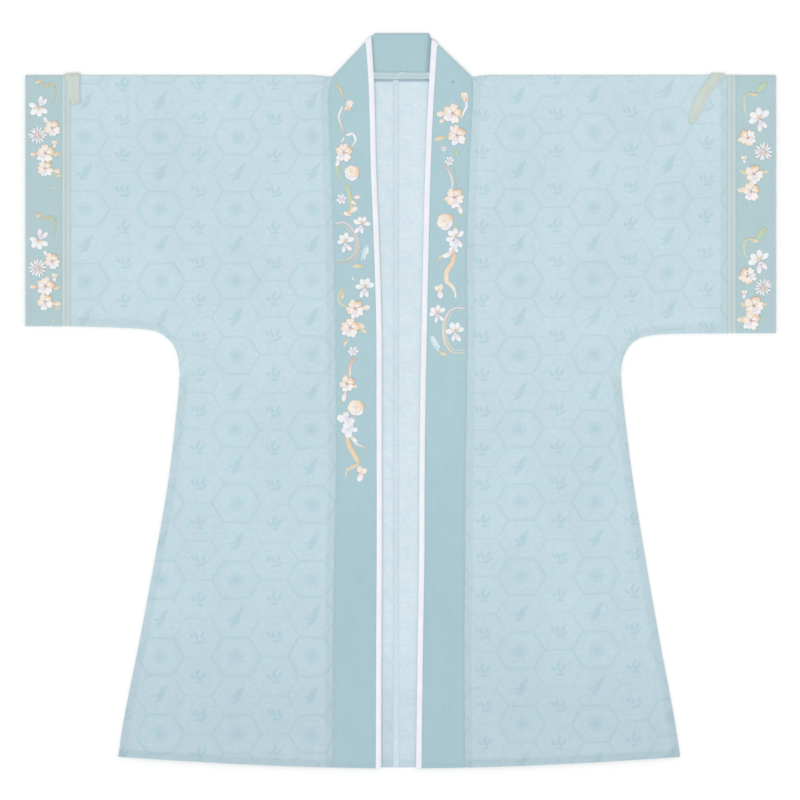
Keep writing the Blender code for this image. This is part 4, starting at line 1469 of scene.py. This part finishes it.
def embroider(thread, shapes, half, motifs, stems, ground, drop, squeeze, dice):
    """Lay the stems and flowers of one spray on a cloth whose top is given by ground.

    Drop moves the spray down, and squeeze draws it together about its middle.
    """
    petal, stitch = shapes

    def settle(y):
        return y - drop - squeeze * (y - CUFF_SPRAY_MIDDLE_Y)

    for stem in stems:
        places = smooth_route(stem.route, STEM_SPACING)
        for number, ((out, y), heading) in enumerate(places):
            share = number / (len(places) - 1)
            width = stem.width * (0.35 + 0.65 * math.sin(math.pi * min(share * 1.1 + 0.06, 1.0)) ** 0.5)
            colour = [mix(a, b, share) for a, b in zip(THREAD[stem.start], THREAD[stem.end])]
            direction = math.degrees(math.atan2(math.sin(heading), math.cos(heading) * half.sign))
            lay = Lay(
                x=half.sign * out,
                y=settle(y),
                z=ground(settle(y)) + STEM_LIFT,
                angle=direction + STEM_SLANT * half.sign,
                length=1.25 * width / math.sin(math.radians(STEM_SLANT)),
                width=SILK_WIDTH,
                height=SILK_HEIGHT,
                bend=0.0,
            )
            thread.add(stitch, lay, colour, colour)
    for motif in motifs:
        for layer, row in enumerate(FLOWERS[motif.kind]):
            angle = row.angle + motif.turn
            uneven = 1.0 + SIZE_SPREAD * (dice.random() - 0.5)
            start = row.start * motif.size
            turn = math.radians(angle)
            lay = Lay(
                x=half.sign * motif.out + start * math.cos(turn),
                y=settle(motif.y) + start * math.sin(turn),
                z=ground(settle(motif.y)) + LAYER_STEP * layer,
                angle=angle + TURN_SPREAD * (dice.random() - 0.5),
                length=row.length * motif.size * uneven,
                width=row.width * motif.size * uneven,
                height=SILK_HEIGHT + 0.012 * motif.size,
                bend=BEND_SPREAD * (dice.random() - 0.5),
            )
            thread.add(petal, lay, THREAD[row.base], THREAD[row.tip])


def sew_line(thread, stitch, route, spacing, length, colour):
    """Sew small running stitches along a line of points."""
    count = int(sum_lengths(route) / spacing)
    marks = [number + 0.5 for number in range(count)]
    for (x, y, z), heading in walk(route, marks, count):
        lay = Lay(x, y, z, math.degrees(heading), length, SEWN_WIDTH, SEWN_HEIGHT, 0.0)
        thread.add(stitch, lay, colour, colour)


def sew_half(thread, stitch, half):
    """Sew the hem, the band's seam, the trim's edges and the cuff's hem of one half."""
    sheer = paint(204, 222, 228)
    teal = paint(182, 208, 214)
    pale = paint(222, 232, 226)
    violet = paint(188, 202, 220)
    seam_y = [mix(HEM_Y + 4.0, NECK_SEAM_Y - 6.0, step / 120) for step in range(121)]
    band = [(half.sign * (seam_out(half, y) - 2.2), y, band_top(y) + 0.02) for y in seam_y]
    sew_line(thread, stitch, band, 3.0, 2.1, teal)
    bound = [(half.sign * (edge_out(half, y) + PIPING_WIDTH + 0.8), y, band_top(y) + 0.03) for y in seam_y]
    sew_line(thread, stitch, bound, 3.0, 2.1, teal)
    hem = []
    for step in range(81):
        out = mix(seam_out(half, HEM_Y) + 3.0, side_out(half, HEM_Y) - 5.0, step / 80)
        y = hem_y(out) + HEM_DEPTH - 1.2
        height = front_height(half, out, y, side_out(half, y) - out)
        hem.append((half.sign * out, y, height + HEM_STEP + 0.02))
    sew_line(thread, stitch, hem, 3.2, 2.2, sheer)
    low = half.under[-1].y + 4.0
    high = SHOULDER_Y - 4.0
    for out, height, colour in (
        (half.sleeve_out + 1.0, TRIM_TOP + 0.06, pale),
        (half.trim_out - 1.0, TRIM_TOP + 0.06, pale),
        (SLEEVE_END - CUFF_HEM_DEPTH + 0.6, LAYER_TOP + HEM_STEP + 0.02, violet),
    ):
        line = [(half.sign * out, mix(low, high, step / 20), height) for step in range(21)]
        sew_line(thread, stitch, line, 3.0, 2.0, colour)


def sew_neck(thread, stitch):
    """Sew the two lines of the neck tape and the line under the collar's top edge."""
    pale = paint(220, 230, 228)
    faint = paint(192, 215, 221)
    width = NECK_TAPE_HIGH_Y - NECK_TAPE_LOW_Y
    for share in NECK_TAPE_RIBS:
        y = NECK_TAPE_LOW_Y + share * width
        line = [(mix(-34.0, 35.0, step / 20), y, NECK_BAND_TOP + TAPE_WALL + 0.34) for step in range(21)]
        sew_line(thread, stitch, line, 2.6, 1.9, pale)
    top = [(mix(-33.0, 34.0, step / 20), COLLAR_TOP_Y - 6.0, NECK_BAND_TOP + 0.03) for step in range(21)]
    sew_line(thread, stitch, top, 2.6, 2.1, faint)


class Recipe:
    """One material's nodes, each added and fed in one call."""

    def __init__(self, name, roughness, sheen=0.0, specular=0.3):
        self.material = bpy.data.materials.new(name)
        self.material.use_nodes = True
        self.tree = self.material.node_tree
        self.shader = self.tree.nodes["Principled BSDF"]
        self.shader.inputs["Roughness"].default_value = roughness
        self.shader.inputs["Sheen Weight"].default_value = sheen
        self.shader.inputs["Sheen Roughness"].default_value = 0.5
        self.shader.inputs["Specular IOR Level"].default_value = specular

    def feed(self, socket, value):
        """Link a socket, or set it."""
        if isinstance(value, bpy.types.NodeSocket):
            self.tree.links.new(value, socket)
        else:
            socket.default_value = value

    def node(self, kind, feeds, **settings):
        """Add a node, set its options and feed its inputs by name or number."""
        node = self.tree.nodes.new(kind)
        for option, value in settings.items():
            setattr(node, option, value)
        for socket, value in feeds.items():
            self.feed(node.inputs[socket], value)
        return node

    def sum(self, operation, *values):
        """Work out one number."""
        return self.node("ShaderNodeMath", dict(enumerate(values)), operation=operation).outputs[0]

    def vector(self, operation, *values):
        """Work out one vector, or its length or product."""
        feeds = dict(enumerate(values))
        if operation == "SCALE":
            feeds = {"Vector": values[0], "Scale": values[1]}
        node = self.node("ShaderNodeVectorMath", feeds, operation=operation)
        return node.outputs["Value" if operation in ("LENGTH", "DOT_PRODUCT") else "Vector"]

    def ramp(self, value, start, end, low=0.0, high=1.0):
        """Go softly from low to high while value goes from start to end."""
        feeds = {"Value": value, "From Min": start, "From Max": end, "To Min": low, "To Max": high}
        return self.node("ShaderNodeMapRange", feeds, interpolation_type="SMOOTHSTEP").outputs["Result"]

    def moved(self, vector, place, turn, size):
        """See a vector from a place, turned and scaled."""
        feeds = {
            "Vector": vector,
            "Location": (place[0], place[1], 0.0),
            "Rotation": (0.0, 0.0, math.radians(turn)),
            "Scale": (size[0], size[1], 1.0),
        }
        return self.node("ShaderNodeMapping", feeds, vector_type="TEXTURE").outputs["Vector"]

    def cut(self):
        """Read the place in the flat cut, in metres."""
        return self.node("ShaderNodeUVMap", {}, uv_map="cut").outputs["UV"]

    def tint(self):
        """Read the colour attribute."""
        return self.node("ShaderNodeAttribute", {}, attribute_name="tint").outputs["Color"]

    def parts(self, vector):
        """Split a vector into its three numbers."""
        return self.node("ShaderNodeSeparateXYZ", {0: vector}).outputs

    def grain(self, vector, size, detail=1.0, place=0.0):
        """Read soft noise of a grain size (across, along) in millimetres, from -1 to 1."""
        scale = (1.0 / (size[0] * MILLIMETRE), 1.0 / (size[1] * MILLIMETRE), 1.0)
        stretched = self.vector("MULTIPLY_ADD", vector, scale, (place, place, place))
        feeds = {"Vector": stretched, "Scale": 1.0, "Detail": detail, "Roughness": 0.5}
        value = self.node("ShaderNodeTexNoise", feeds, noise_dimensions="2D").outputs[0]
        return self.sum("MULTIPLY_ADD", value, 2.0, -1.0)

    def shift_noise(self, vector, size):
        """Read a soft noise vector of a grain size in millimetres, from -0.5 to 0.5."""
        feeds = {"Vector": vector, "Scale": 1.0 / (size * MILLIMETRE), "Detail": 0.0}
        colour = self.node("ShaderNodeTexNoise", feeds, noise_dimensions="2D").outputs[1]
        return self.vector("SUBTRACT", colour, scale_by(0.5))

    def weave(self, vector, pitch):
        """Give the height of a plain weave with a thread spacing in millimetres."""
        across, along = self.parts(vector)[:2]
        return self.sum("MULTIPLY", self.waves(across, pitch), self.waves(along, pitch))

    def waves(self, value, pitch):
        """Give even waves from -1 to 1, with a pitch in millimetres."""
        return self.sum("SINE", self.sum("MULTIPLY", value, 2.0 * math.pi / (pitch * MILLIMETRE)))

    def shade(self, colour, amount):
        """Multiply a colour by one number or by a vector."""
        return self.vector("SCALE" if amount.type == "VALUE" else "MULTIPLY", colour, amount)

    def blend(self, share, low, high):
        """Blend two colours."""
        node = self.tree.nodes.new("ShaderNodeMix")
        node.data_type = "RGBA"
        node.clamp_factor = True
        self.feed(node.inputs[0], share)
        self.feed(node.inputs[6], as_colour(low))
        self.feed(node.inputs[7], as_colour(high))
        return node.outputs[2]

    def weigh(self, start, *weighted):
        """Add values to a number, each times its weight."""
        for value, weight in weighted:
            start = self.sum("MULTIPLY_ADD", value, weight, start)
        return start

    def dyed_or_shaded(self, colour, mask, dye_or_shade, ground=(1.0, 1.0, 1.0)):
        """Multiply a colour by a dye or a painted shade where a mask is 1, and by the ground's dye where it
        is 0.
        """
        return self.shade(colour, self.blend(mask, ground, dye_or_shade))

    def bump(self, height, distance, strength):
        """Add relief of a height in millimetres to the surface."""
        feeds = {"Height": height, "Distance": distance * MILLIMETRE, "Strength": strength}
        return self.node("ShaderNodeBump", feeds).outputs["Normal"]

    def done(self, colour, normal):
        """Feed the shader and give the material."""
        self.feed(self.shader.inputs["Base Color"], colour)
        self.feed(self.shader.inputs["Normal"], normal)
        return self.material


def scale_by(value):
    """Give a vector with the same number three times."""
    return (value, value, value)


def as_colour(value):
    """Give a colour four parts, and leave a socket as it is."""
    return value if isinstance(value, bpy.types.NodeSocket) else (*value[:3], 1.0)


# Figure of the sheer cloth: hexagon cells, as shares of the spacing between their columns
Figure = namedtuple("Figure", "x y column_step row_step tilt stretch lift")
LEFT_FIGURE = Figure(-213.6, 342.2, column_step=49.1, row_step=46.4, tilt=0.0, stretch=0.056, lift=0.0)
RIGHT_FIGURE = Figure(153.0, 347.4, column_step=48.7, row_step=48.0, tilt=0.3, stretch=0.0, lift=10.6)
LIFT_FROM = 0.25
LIFT_TO = 0.40
CELL_HALF_HEIGHT = 0.5
CELL_HALF_WIDTH = 0.65
CELL_HALF_FLAT = 0.35
FLOWER_REACH = 0.230
FLOWER_HEART = 0.130
Leaf = namedtuple("Leaf", "x y turn length width")
BIRD = (
    Leaf(0.100, 0.130, 57, 0.180, 0.052),
    Leaf(0.030, 0.000, 72, 0.215, 0.095),
    Leaf(-0.045, -0.130, 40, 0.135, 0.058),
    Leaf(-0.115, -0.030, 12, 0.095, 0.036),
)
FIRST_SPRIG = (
    Leaf(-0.150, 0.060, -58, 0.095, 0.042),
    Leaf(-0.030, 0.045, -66, 0.125, 0.046),
    Leaf(0.120, 0.070, 66, 0.110, 0.046),
    Leaf(0.050, -0.120, 8, 0.150, 0.040),
    Leaf(0.170, -0.040, 24, 0.075, 0.038),
)
SECOND_SPRIG = (
    Leaf(-0.140, -0.010, -42, 0.095, 0.042),
    Leaf(0.000, 0.100, 64, 0.115, 0.046),
    Leaf(0.010, -0.020, -48, 0.110, 0.046),
    Leaf(0.130, 0.020, 52, 0.120, 0.046),
    Leaf(0.030, -0.155, -6, 0.115, 0.038),
)


def figure_masks(recipe, cut, figure):
    """Give three masks of the woven figure: thin hexagons, soft rings, and flowers with sprigs."""
    down = recipe.sum("SUBTRACT", recipe.parts(cut)[1], figure.y * MILLIMETRE)
    longer = recipe.sum("MULTIPLY", recipe.sum("MULTIPLY", down, down), figure.stretch)
    lift = recipe.ramp(recipe.parts(cut)[0], LIFT_FROM, LIFT_TO, 0.0, figure.lift * MILLIMETRE)
    drift = recipe.node("ShaderNodeCombineXYZ", {1: recipe.sum("SUBTRACT", longer, lift)}).outputs[0]
    sway = recipe.vector("SCALE", recipe.shift_noise(cut, 130.0), 0.0045)
    eased = recipe.vector("ADD", recipe.vector("ADD", cut, drift), sway)
    steps = (figure.column_step * MILLIMETRE, figure.row_step * MILLIMETRE)
    place = recipe.moved(eased, (figure.x * MILLIMETRE, figure.y * MILLIMETRE), figure.tilt, steps)
    one = scale_by(1.0)
    cells = []
    for x, y in ((0.0, 0.0), (0.0, 1.0), (1.0, 0.5), (1.0, -0.5)):
        shifted = recipe.vector("SUBTRACT", place, (x, y, 0.0))
        cells.append(recipe.vector("WRAP", shifted, one, scale_by(-1.0)))
    slant = (CELL_HALF_WIDTH - CELL_HALF_FLAT) / (CELL_HALF_WIDTH * CELL_HALF_HEIGHT)
    sizes = []
    for cell in cells:
        size = recipe.vector("ABSOLUTE", cell)
        side = recipe.vector("DOT_PRODUCT", size, (1.0 / CELL_HALF_WIDTH, slant, 0.0))
        flat = recipe.vector("DOT_PRODUCT", size, (0.0, 1.0 / CELL_HALF_HEIGHT, 0.0))
        sizes.append(recipe.sum("MAXIMUM", side, flat))
    nearest = recipe.sum("MINIMUM", recipe.sum("MINIMUM", *sizes[:2]), recipe.sum("MINIMUM", *sizes[2:]))
    lines = recipe.ramp(nearest, 0.935, 0.985)
    oval = recipe.vector("LENGTH", recipe.vector("MULTIPLY", cells[0], (1.72, 1.98, 0.0)))
    rounded = recipe.sum("MULTIPLY_ADD", recipe.sum("SUBTRACT", oval, sizes[0]), 0.3, sizes[0])
    ring = recipe.sum("MULTIPLY", recipe.ramp(rounded, 0.80, 0.93), recipe.ramp(rounded, 1.11, 0.99))
    across, along = recipe.parts(cells[0])[:2]
    turns = recipe.sum("MULTIPLY", recipe.sum("ARCTAN2", along, across), 11.0)
    radius = recipe.vector("LENGTH", cells[0])
    rays = recipe.ramp(recipe.sum("COSINE", turns), -0.9, 0.3, 0.25, 1.0)
    marks = [
        recipe.sum("MULTIPLY", rays, recipe.ramp(radius, FLOWER_REACH, 0.75 * FLOWER_REACH, 0.0, 0.75)),
        recipe.ramp(radius, FLOWER_HEART, 0.5 * FLOWER_HEART),
    ]
    for cell, leaves in ((cells[1], BIRD), (cells[2], FIRST_SPRIG), (cells[3], SECOND_SPRIG)):
        for leaf in leaves:
            seen = recipe.moved(cell, (leaf.x, leaf.y), leaf.turn, (leaf.length, leaf.width))
            marks.append(recipe.ramp(recipe.vector("LENGTH", seen), 1.2, 0.6))
    motifs = marks[0]
    for mark in marks[1:]:
        motifs = recipe.sum("MAXIMUM", motifs, mark)
    return lines, ring, motifs


def make_sheer(name, figure, low_back):
    """Make the sheer jacquard, which is lighter where one layer lies alone, with a painted shadow under the
    neck tape.
    """
    recipe = Recipe(name, roughness=0.62, sheen=0.12)
    cut = recipe.cut()
    single_layer_and_shadow, turned, hem = recipe.parts(recipe.tint())
    lines, ring, motifs = figure_masks(recipe, cut, figure)
    y = recipe.parts(cut)[1]
    low_front = recipe.blend(recipe.ramp(y, -0.47, -0.16), paint(190, 211, 221), paint(197, 219, 228))
    double = recipe.blend(recipe.ramp(y, -0.12, 0.12), low_front, paint(200, 221, 229))
    alone = recipe.blend(recipe.ramp(y, 1.34, 1.06), paint(*low_back), paint(217, 232, 240))
    colour = recipe.blend(single_layer_and_shadow, double, alone)
    # Painted shadow under the neck tape where the first tint number rises above 1; on the centre-back
    # allowance the same step gives a darker line at the seam
    colour = recipe.dyed_or_shaded(colour, recipe.ramp(single_layer_and_shadow, 1.0, 1.9), (0.560, 0.660, 0.700))
    cloudy = recipe.grain(cut, (19.0, 23.0), detail=2.0)
    broad = recipe.grain(cut, (88.0, 120.0), place=7.0)
    slub = recipe.grain(cut, (7.0, 4.5), detail=2.0, place=21.0)
    warp = recipe.grain(cut, (0.9, 46.0), place=3.0)
    weft = recipe.grain(cut, (38.0, 0.9), place=11.0)
    hue = recipe.grain(cut, (13.0, 15.0), detail=1.0, place=31.0)
    tone = recipe.weigh(1.0, (cloudy, 0.022), (broad, 0.034), (slub, 0.062), (warp, 0.020), (weft, 0.020))
    colour = recipe.shade(colour, tone)
    shift = recipe.ramp(hue, -0.5, 0.5)
    colour = recipe.dyed_or_shaded(colour, shift, (1.022, 0.996, 1.004), (0.970, 1.004, 0.996))
    patchy = recipe.grain(cut, (30.0, 26.0), detail=2.0, place=43.0)
    lines = recipe.sum("MULTIPLY", lines, recipe.ramp(patchy, -0.45, 0.45, 0.25, 1.0))
    ring = recipe.sum("MULTIPLY", ring, recipe.ramp(patchy, 0.40, -0.40, 0.35, 1.0))
    faint = recipe.sum("MULTIPLY_ADD", single_layer_and_shadow, -0.45, recipe.ramp(slub, -0.5, 0.4, 0.4, 1.0))
    for mask, dye_or_shade in (
        (lines, (0.865, 0.898, 0.885)),
        (ring, (0.905, 0.960, 0.950)),
        (motifs, (0.805, 0.893, 0.905)),
    ):
        colour = recipe.dyed_or_shaded(colour, recipe.sum("MULTIPLY", mask, faint), dye_or_shade)
    colour = recipe.dyed_or_shaded(colour, turned, (0.935, 0.940, 0.935))
    colour = recipe.dyed_or_shaded(colour, hem, (0.905, 0.925, 0.915))
    woven = recipe.sum("MULTIPLY_ADD", recipe.weave(cut, 0.9), 0.25, recipe.sum("MULTIPLY", motifs, 0.5))
    woven = recipe.sum("MULTIPLY_ADD", warp, 0.35, woven)
    return recipe.done(colour, recipe.bump(woven, 0.10, 0.6))


def make_plain(name, low, high, inside):
    """Make a plain-weave cloth, a little deeper in colour towards the hem and on its inside."""
    recipe = Recipe(name, roughness=0.56, sheen=0.10)
    cut = recipe.cut()
    inner, shadow, hem = recipe.parts(recipe.tint())
    height = recipe.parts(recipe.node("ShaderNodeTexCoord", {}).outputs["Object"])[1]
    colour = recipe.blend(recipe.ramp(height, -0.28, 0.04), paint(*low), paint(*high))
    colour = recipe.blend(inner, colour, paint(*inside))
    colour = recipe.dyed_or_shaded(colour, shadow, (0.700, 0.680, 0.740))
    cloudy = recipe.grain(cut, (24.0, 46.0), detail=2.0)
    slub = recipe.grain(cut, (4.0, 7.0), detail=2.0, place=17.0)
    warp = recipe.grain(cut, (1.1, 30.0), place=5.0)
    weft = recipe.grain(cut, (30.0, 1.1), place=9.0)
    hue = recipe.grain(cut, (9.0, 15.0), detail=1.0, place=31.0)
    shift = recipe.ramp(hue, -0.5, 0.5)
    colour = recipe.dyed_or_shaded(colour, shift, (1.020, 0.995, 1.008), (0.972, 1.006, 0.992))
    tone = recipe.weigh(1.0, (cloudy, 0.030), (slub, 0.022), (warp, 0.024), (weft, 0.022), (hem, -0.035))
    colour = recipe.shade(colour, tone)
    woven = recipe.sum("MULTIPLY_ADD", warp, 0.5, recipe.weave(cut, 0.8))
    return recipe.done(colour, recipe.bump(woven, 0.09, 0.6))


def make_satin(name):
    """Make the soft white satin of the piping, with fine ribs across it."""
    recipe = Recipe(name, roughness=0.42, sheen=0.08, specular=0.4)
    cut = recipe.cut()
    soft = recipe.grain(cut, (6.0, 16.0), detail=1.0)
    colour = recipe.blend(recipe.ramp(soft, -0.8, 0.8), paint(241, 243, 251), paint(248, 248, 254))
    ribs = recipe.waves(recipe.parts(cut)[1], 0.8)
    return recipe.done(colour, recipe.bump(recipe.sum("MULTIPLY_ADD", soft, 1.5, ribs), 0.05, 0.5))


def make_tape(name, ground, line, lines, width):
    """Make a woven tape with lighter lines along it, at shares of its width in millimetres."""
    recipe = Recipe(name, roughness=0.6, sheen=0.10)
    cut = recipe.cut()
    start, shares = lines
    across, along = recipe.parts(cut)[:2]
    colour = paint(*ground)
    drift = recipe.grain(cut, (5.0, 44.0), detail=1.0)
    tone = recipe.sum("MULTIPLY_ADD", drift, 0.02, 1.0)
    stripe = None
    for share in shares:
        middle = (start + share * width) * MILLIMETRE
        far = recipe.sum("ABSOLUTE", recipe.sum("SUBTRACT", across, middle))
        band = recipe.ramp(far, 1.6 * MILLIMETRE, 0.5 * MILLIMETRE)
        stripe = band if stripe is None else recipe.sum("MAXIMUM", stripe, band)
    strand, lap, _ = recipe.parts(recipe.tint())
    stripe = strand if stripe is None else recipe.sum("MAXIMUM", stripe, lap)
    colour = recipe.shade(recipe.blend(stripe, colour, paint(*line)), tone)
    ribs = recipe.sum("MULTIPLY", recipe.waves(along, 0.9), recipe.weave(cut, 0.7))
    return recipe.done(colour, recipe.bump(ribs, 0.12, 0.8))


def make_thread(name, roughness, gain):
    """Make thread with its strands, in the colours that each stitch brings, brightened by gain."""
    recipe = Recipe(name, roughness=roughness, sheen=0.05, specular=0.45)
    cut = recipe.cut()
    strands = recipe.waves(recipe.parts(cut)[0], 0.42)
    loose = recipe.grain(cut, (0.5, 5.0), detail=1.0)
    tone = recipe.weigh(gain, (strands, 0.025), (loose, 0.05))
    colour = recipe.shade(recipe.tint(), tone)
    return recipe.done(colour, recipe.bump(strands, 0.08, 0.7))


def make_stage():
    """Lay a plain white floor, and set soft light and a camera straight above."""
    bpy.ops.mesh.primitive_plane_add(size=FLOOR_SIZE, location=(0.0, 0.0, -FLOOR_DROP))
    floor = bpy.context.object
    floor.name = "studio_floor"
    recipe = Recipe("floor_white", roughness=0.9, specular=0.0)
    recipe.shader.inputs["Base Color"].default_value = FLOOR_COLOUR
    floor.data.materials.append(recipe.material)
    scene = bpy.context.scene
    world = bpy.data.worlds.new("studio_light")
    world.use_nodes = True
    world.node_tree.nodes["Background"].inputs["Color"].default_value = (1.0, 1.0, 1.0, 1.0)
    world.node_tree.nodes["Background"].inputs["Strength"].default_value = WORLD_STRENGTH
    scene.world = world
    bpy.ops.object.light_add(type="SUN", rotation=KEY_ROTATION)
    key = bpy.context.object
    key.name = "key_light"
    key.data.energy = KEY_STRENGTH
    key.data.angle = KEY_SPREAD
    place = (CAMERA_X * MILLIMETRE, CAMERA_Y * MILLIMETRE, CAMERA_HEIGHT)
    bpy.ops.object.camera_add(location=place, rotation=(0.0, 0.0, 0.0))
    camera = bpy.context.object
    camera.name = "front_camera"
    camera.data.sensor_width = SENSOR_WIDTH
    camera.data.lens = SENSOR_WIDTH * CAMERA_HEIGHT / (VIEW_WIDTH * MILLIMETRE)
    camera.data.clip_end = 100.0
    scene.camera = camera
    scene.view_settings.view_transform = "Standard"
    scene.view_settings.look = "None"


def make_robe():
    sheer = {
        "left": make_sheer("sheer_jacquard_left", LEFT_FIGURE, (197, 215, 225)),
        "right": make_sheer("sheer_jacquard_right", RIGHT_FIGURE, (204, 222, 231)),
    }
    collar_cloth = make_plain("collar_weave", (172, 202, 211), (178, 208, 216), (175, 206, 213))
    cuff_cloth = make_plain("cuff_weave", (181, 205, 209), (182, 208, 212), (192, 205, 221))
    satin = make_satin("piping_satin")
    neck_weave = make_tape("neck_tape_weave", (186, 212, 219), (207, 228, 232), (0.0, NECK_TAPE_RIBS), 9.0)
    tie_weave = make_tape("sleeve_tape_weave", (213, 225, 210), (211, 219, 218), (0.0, ()), 8.0)
    stitching = make_thread("sewing_thread", 0.5, 0.985)
    silk = make_thread("embroidery_silk", 0.34, 1.04)
    shapes = (model_petal(), model_stitch())
    dice = random.Random(7)

    seams = Thread()
    bodies = {}
    cuffs = {}
    for half in (LEFT, RIGHT):
        bodies[half.name] = make_body(half, sheer[half.name])
        trim_weave = make_tape(
            half.name + "_trim_weave",
            (197, 214, 215),
            (210, 225, 224),
            (half.sleeve_out, TRIM_RIBS),
            half.trim_out - half.sleeve_out,
        )
        cuffs[half.name] = make_sleeve_end(half, trim_weave, cuff_cloth)
        piping, length = make_piping(half, satin)
        finish_sheet(piping, "piping_" + half.name, (PIPING_WIDTH, length))
        tie, length = make_tie(half, tie_weave)
        finish_sheet(tie, "tie_" + half.name, (TIE_CUT_WIDTH, length + TIE_HOOK_LENGTH))
        sew_half(seams, shapes[1], half)

    tape, length = make_neck_tape(neck_weave)
    finish_sheet(tape, "neck_tape", (NECK_TAPE_HIGH_Y - NECK_TAPE_LOW_Y, length))
    sew_neck(seams, shapes[1])
    seams.finish("sewing_stitches", stitching)

    left_band = Thread()
    embroider(left_band, shapes, LEFT, LEFT_SPRAY, LEFT_STEMS, band_top, 0.0, 0.0, dice)
    right_band = Thread()
    embroider(right_band, shapes, RIGHT, RIGHT_SPRAY, RIGHT_STEMS, band_top, 0.0, 0.0, dice)
    on_band = [
        left_band.finish("left_band_embroidery", silk),
        right_band.finish("right_band_embroidery", silk),
    ]
    for half, motifs, stems, repeat, repeat_squeeze in (
        (LEFT, LEFT_CUFF_SPRAY, LEFT_CUFF_STEMS, LEFT_CUFF_REPEAT, LEFT_CUFF_SQUEEZE),
        (RIGHT, RIGHT_CUFF_SPRAY, RIGHT_CUFF_STEMS, RIGHT_CUFF_REPEAT, RIGHT_CUFF_SQUEEZE),
    ):
        spray = Thread()
        for drop, squeeze in ((0.0, 0.0), (repeat, repeat_squeeze)):
            embroider(spray, shapes, half, motifs, stems, cuff_top, drop, squeeze, dice)
        on_cuff = spray.finish(half.name + "_cuff_embroidery", silk)
        cuff, cuff_cut = cuffs[half.name]
        finish_sheet(cuff, "cuff_" + half.name, cuff_cut)

    collar, length = make_collar(collar_cloth)
    finish_sheet(collar, "collar", (BAND_CUT_WIDTH, length))
    centre = make_centre_seam(sheer["left"])
    finish_sheet(centre, None, (CENTRE_ALLOWANCE, NECK_SEAM_Y - HEM_Y))
    for half in (LEFT, RIGHT):
        finish_sheet(
            bodies[half.name],
            "body_" + half.name,
            BODY_CUT[half.name],
        )


bpy.ops.object.select_all(action="DESELECT")
make_robe()
make_stage()
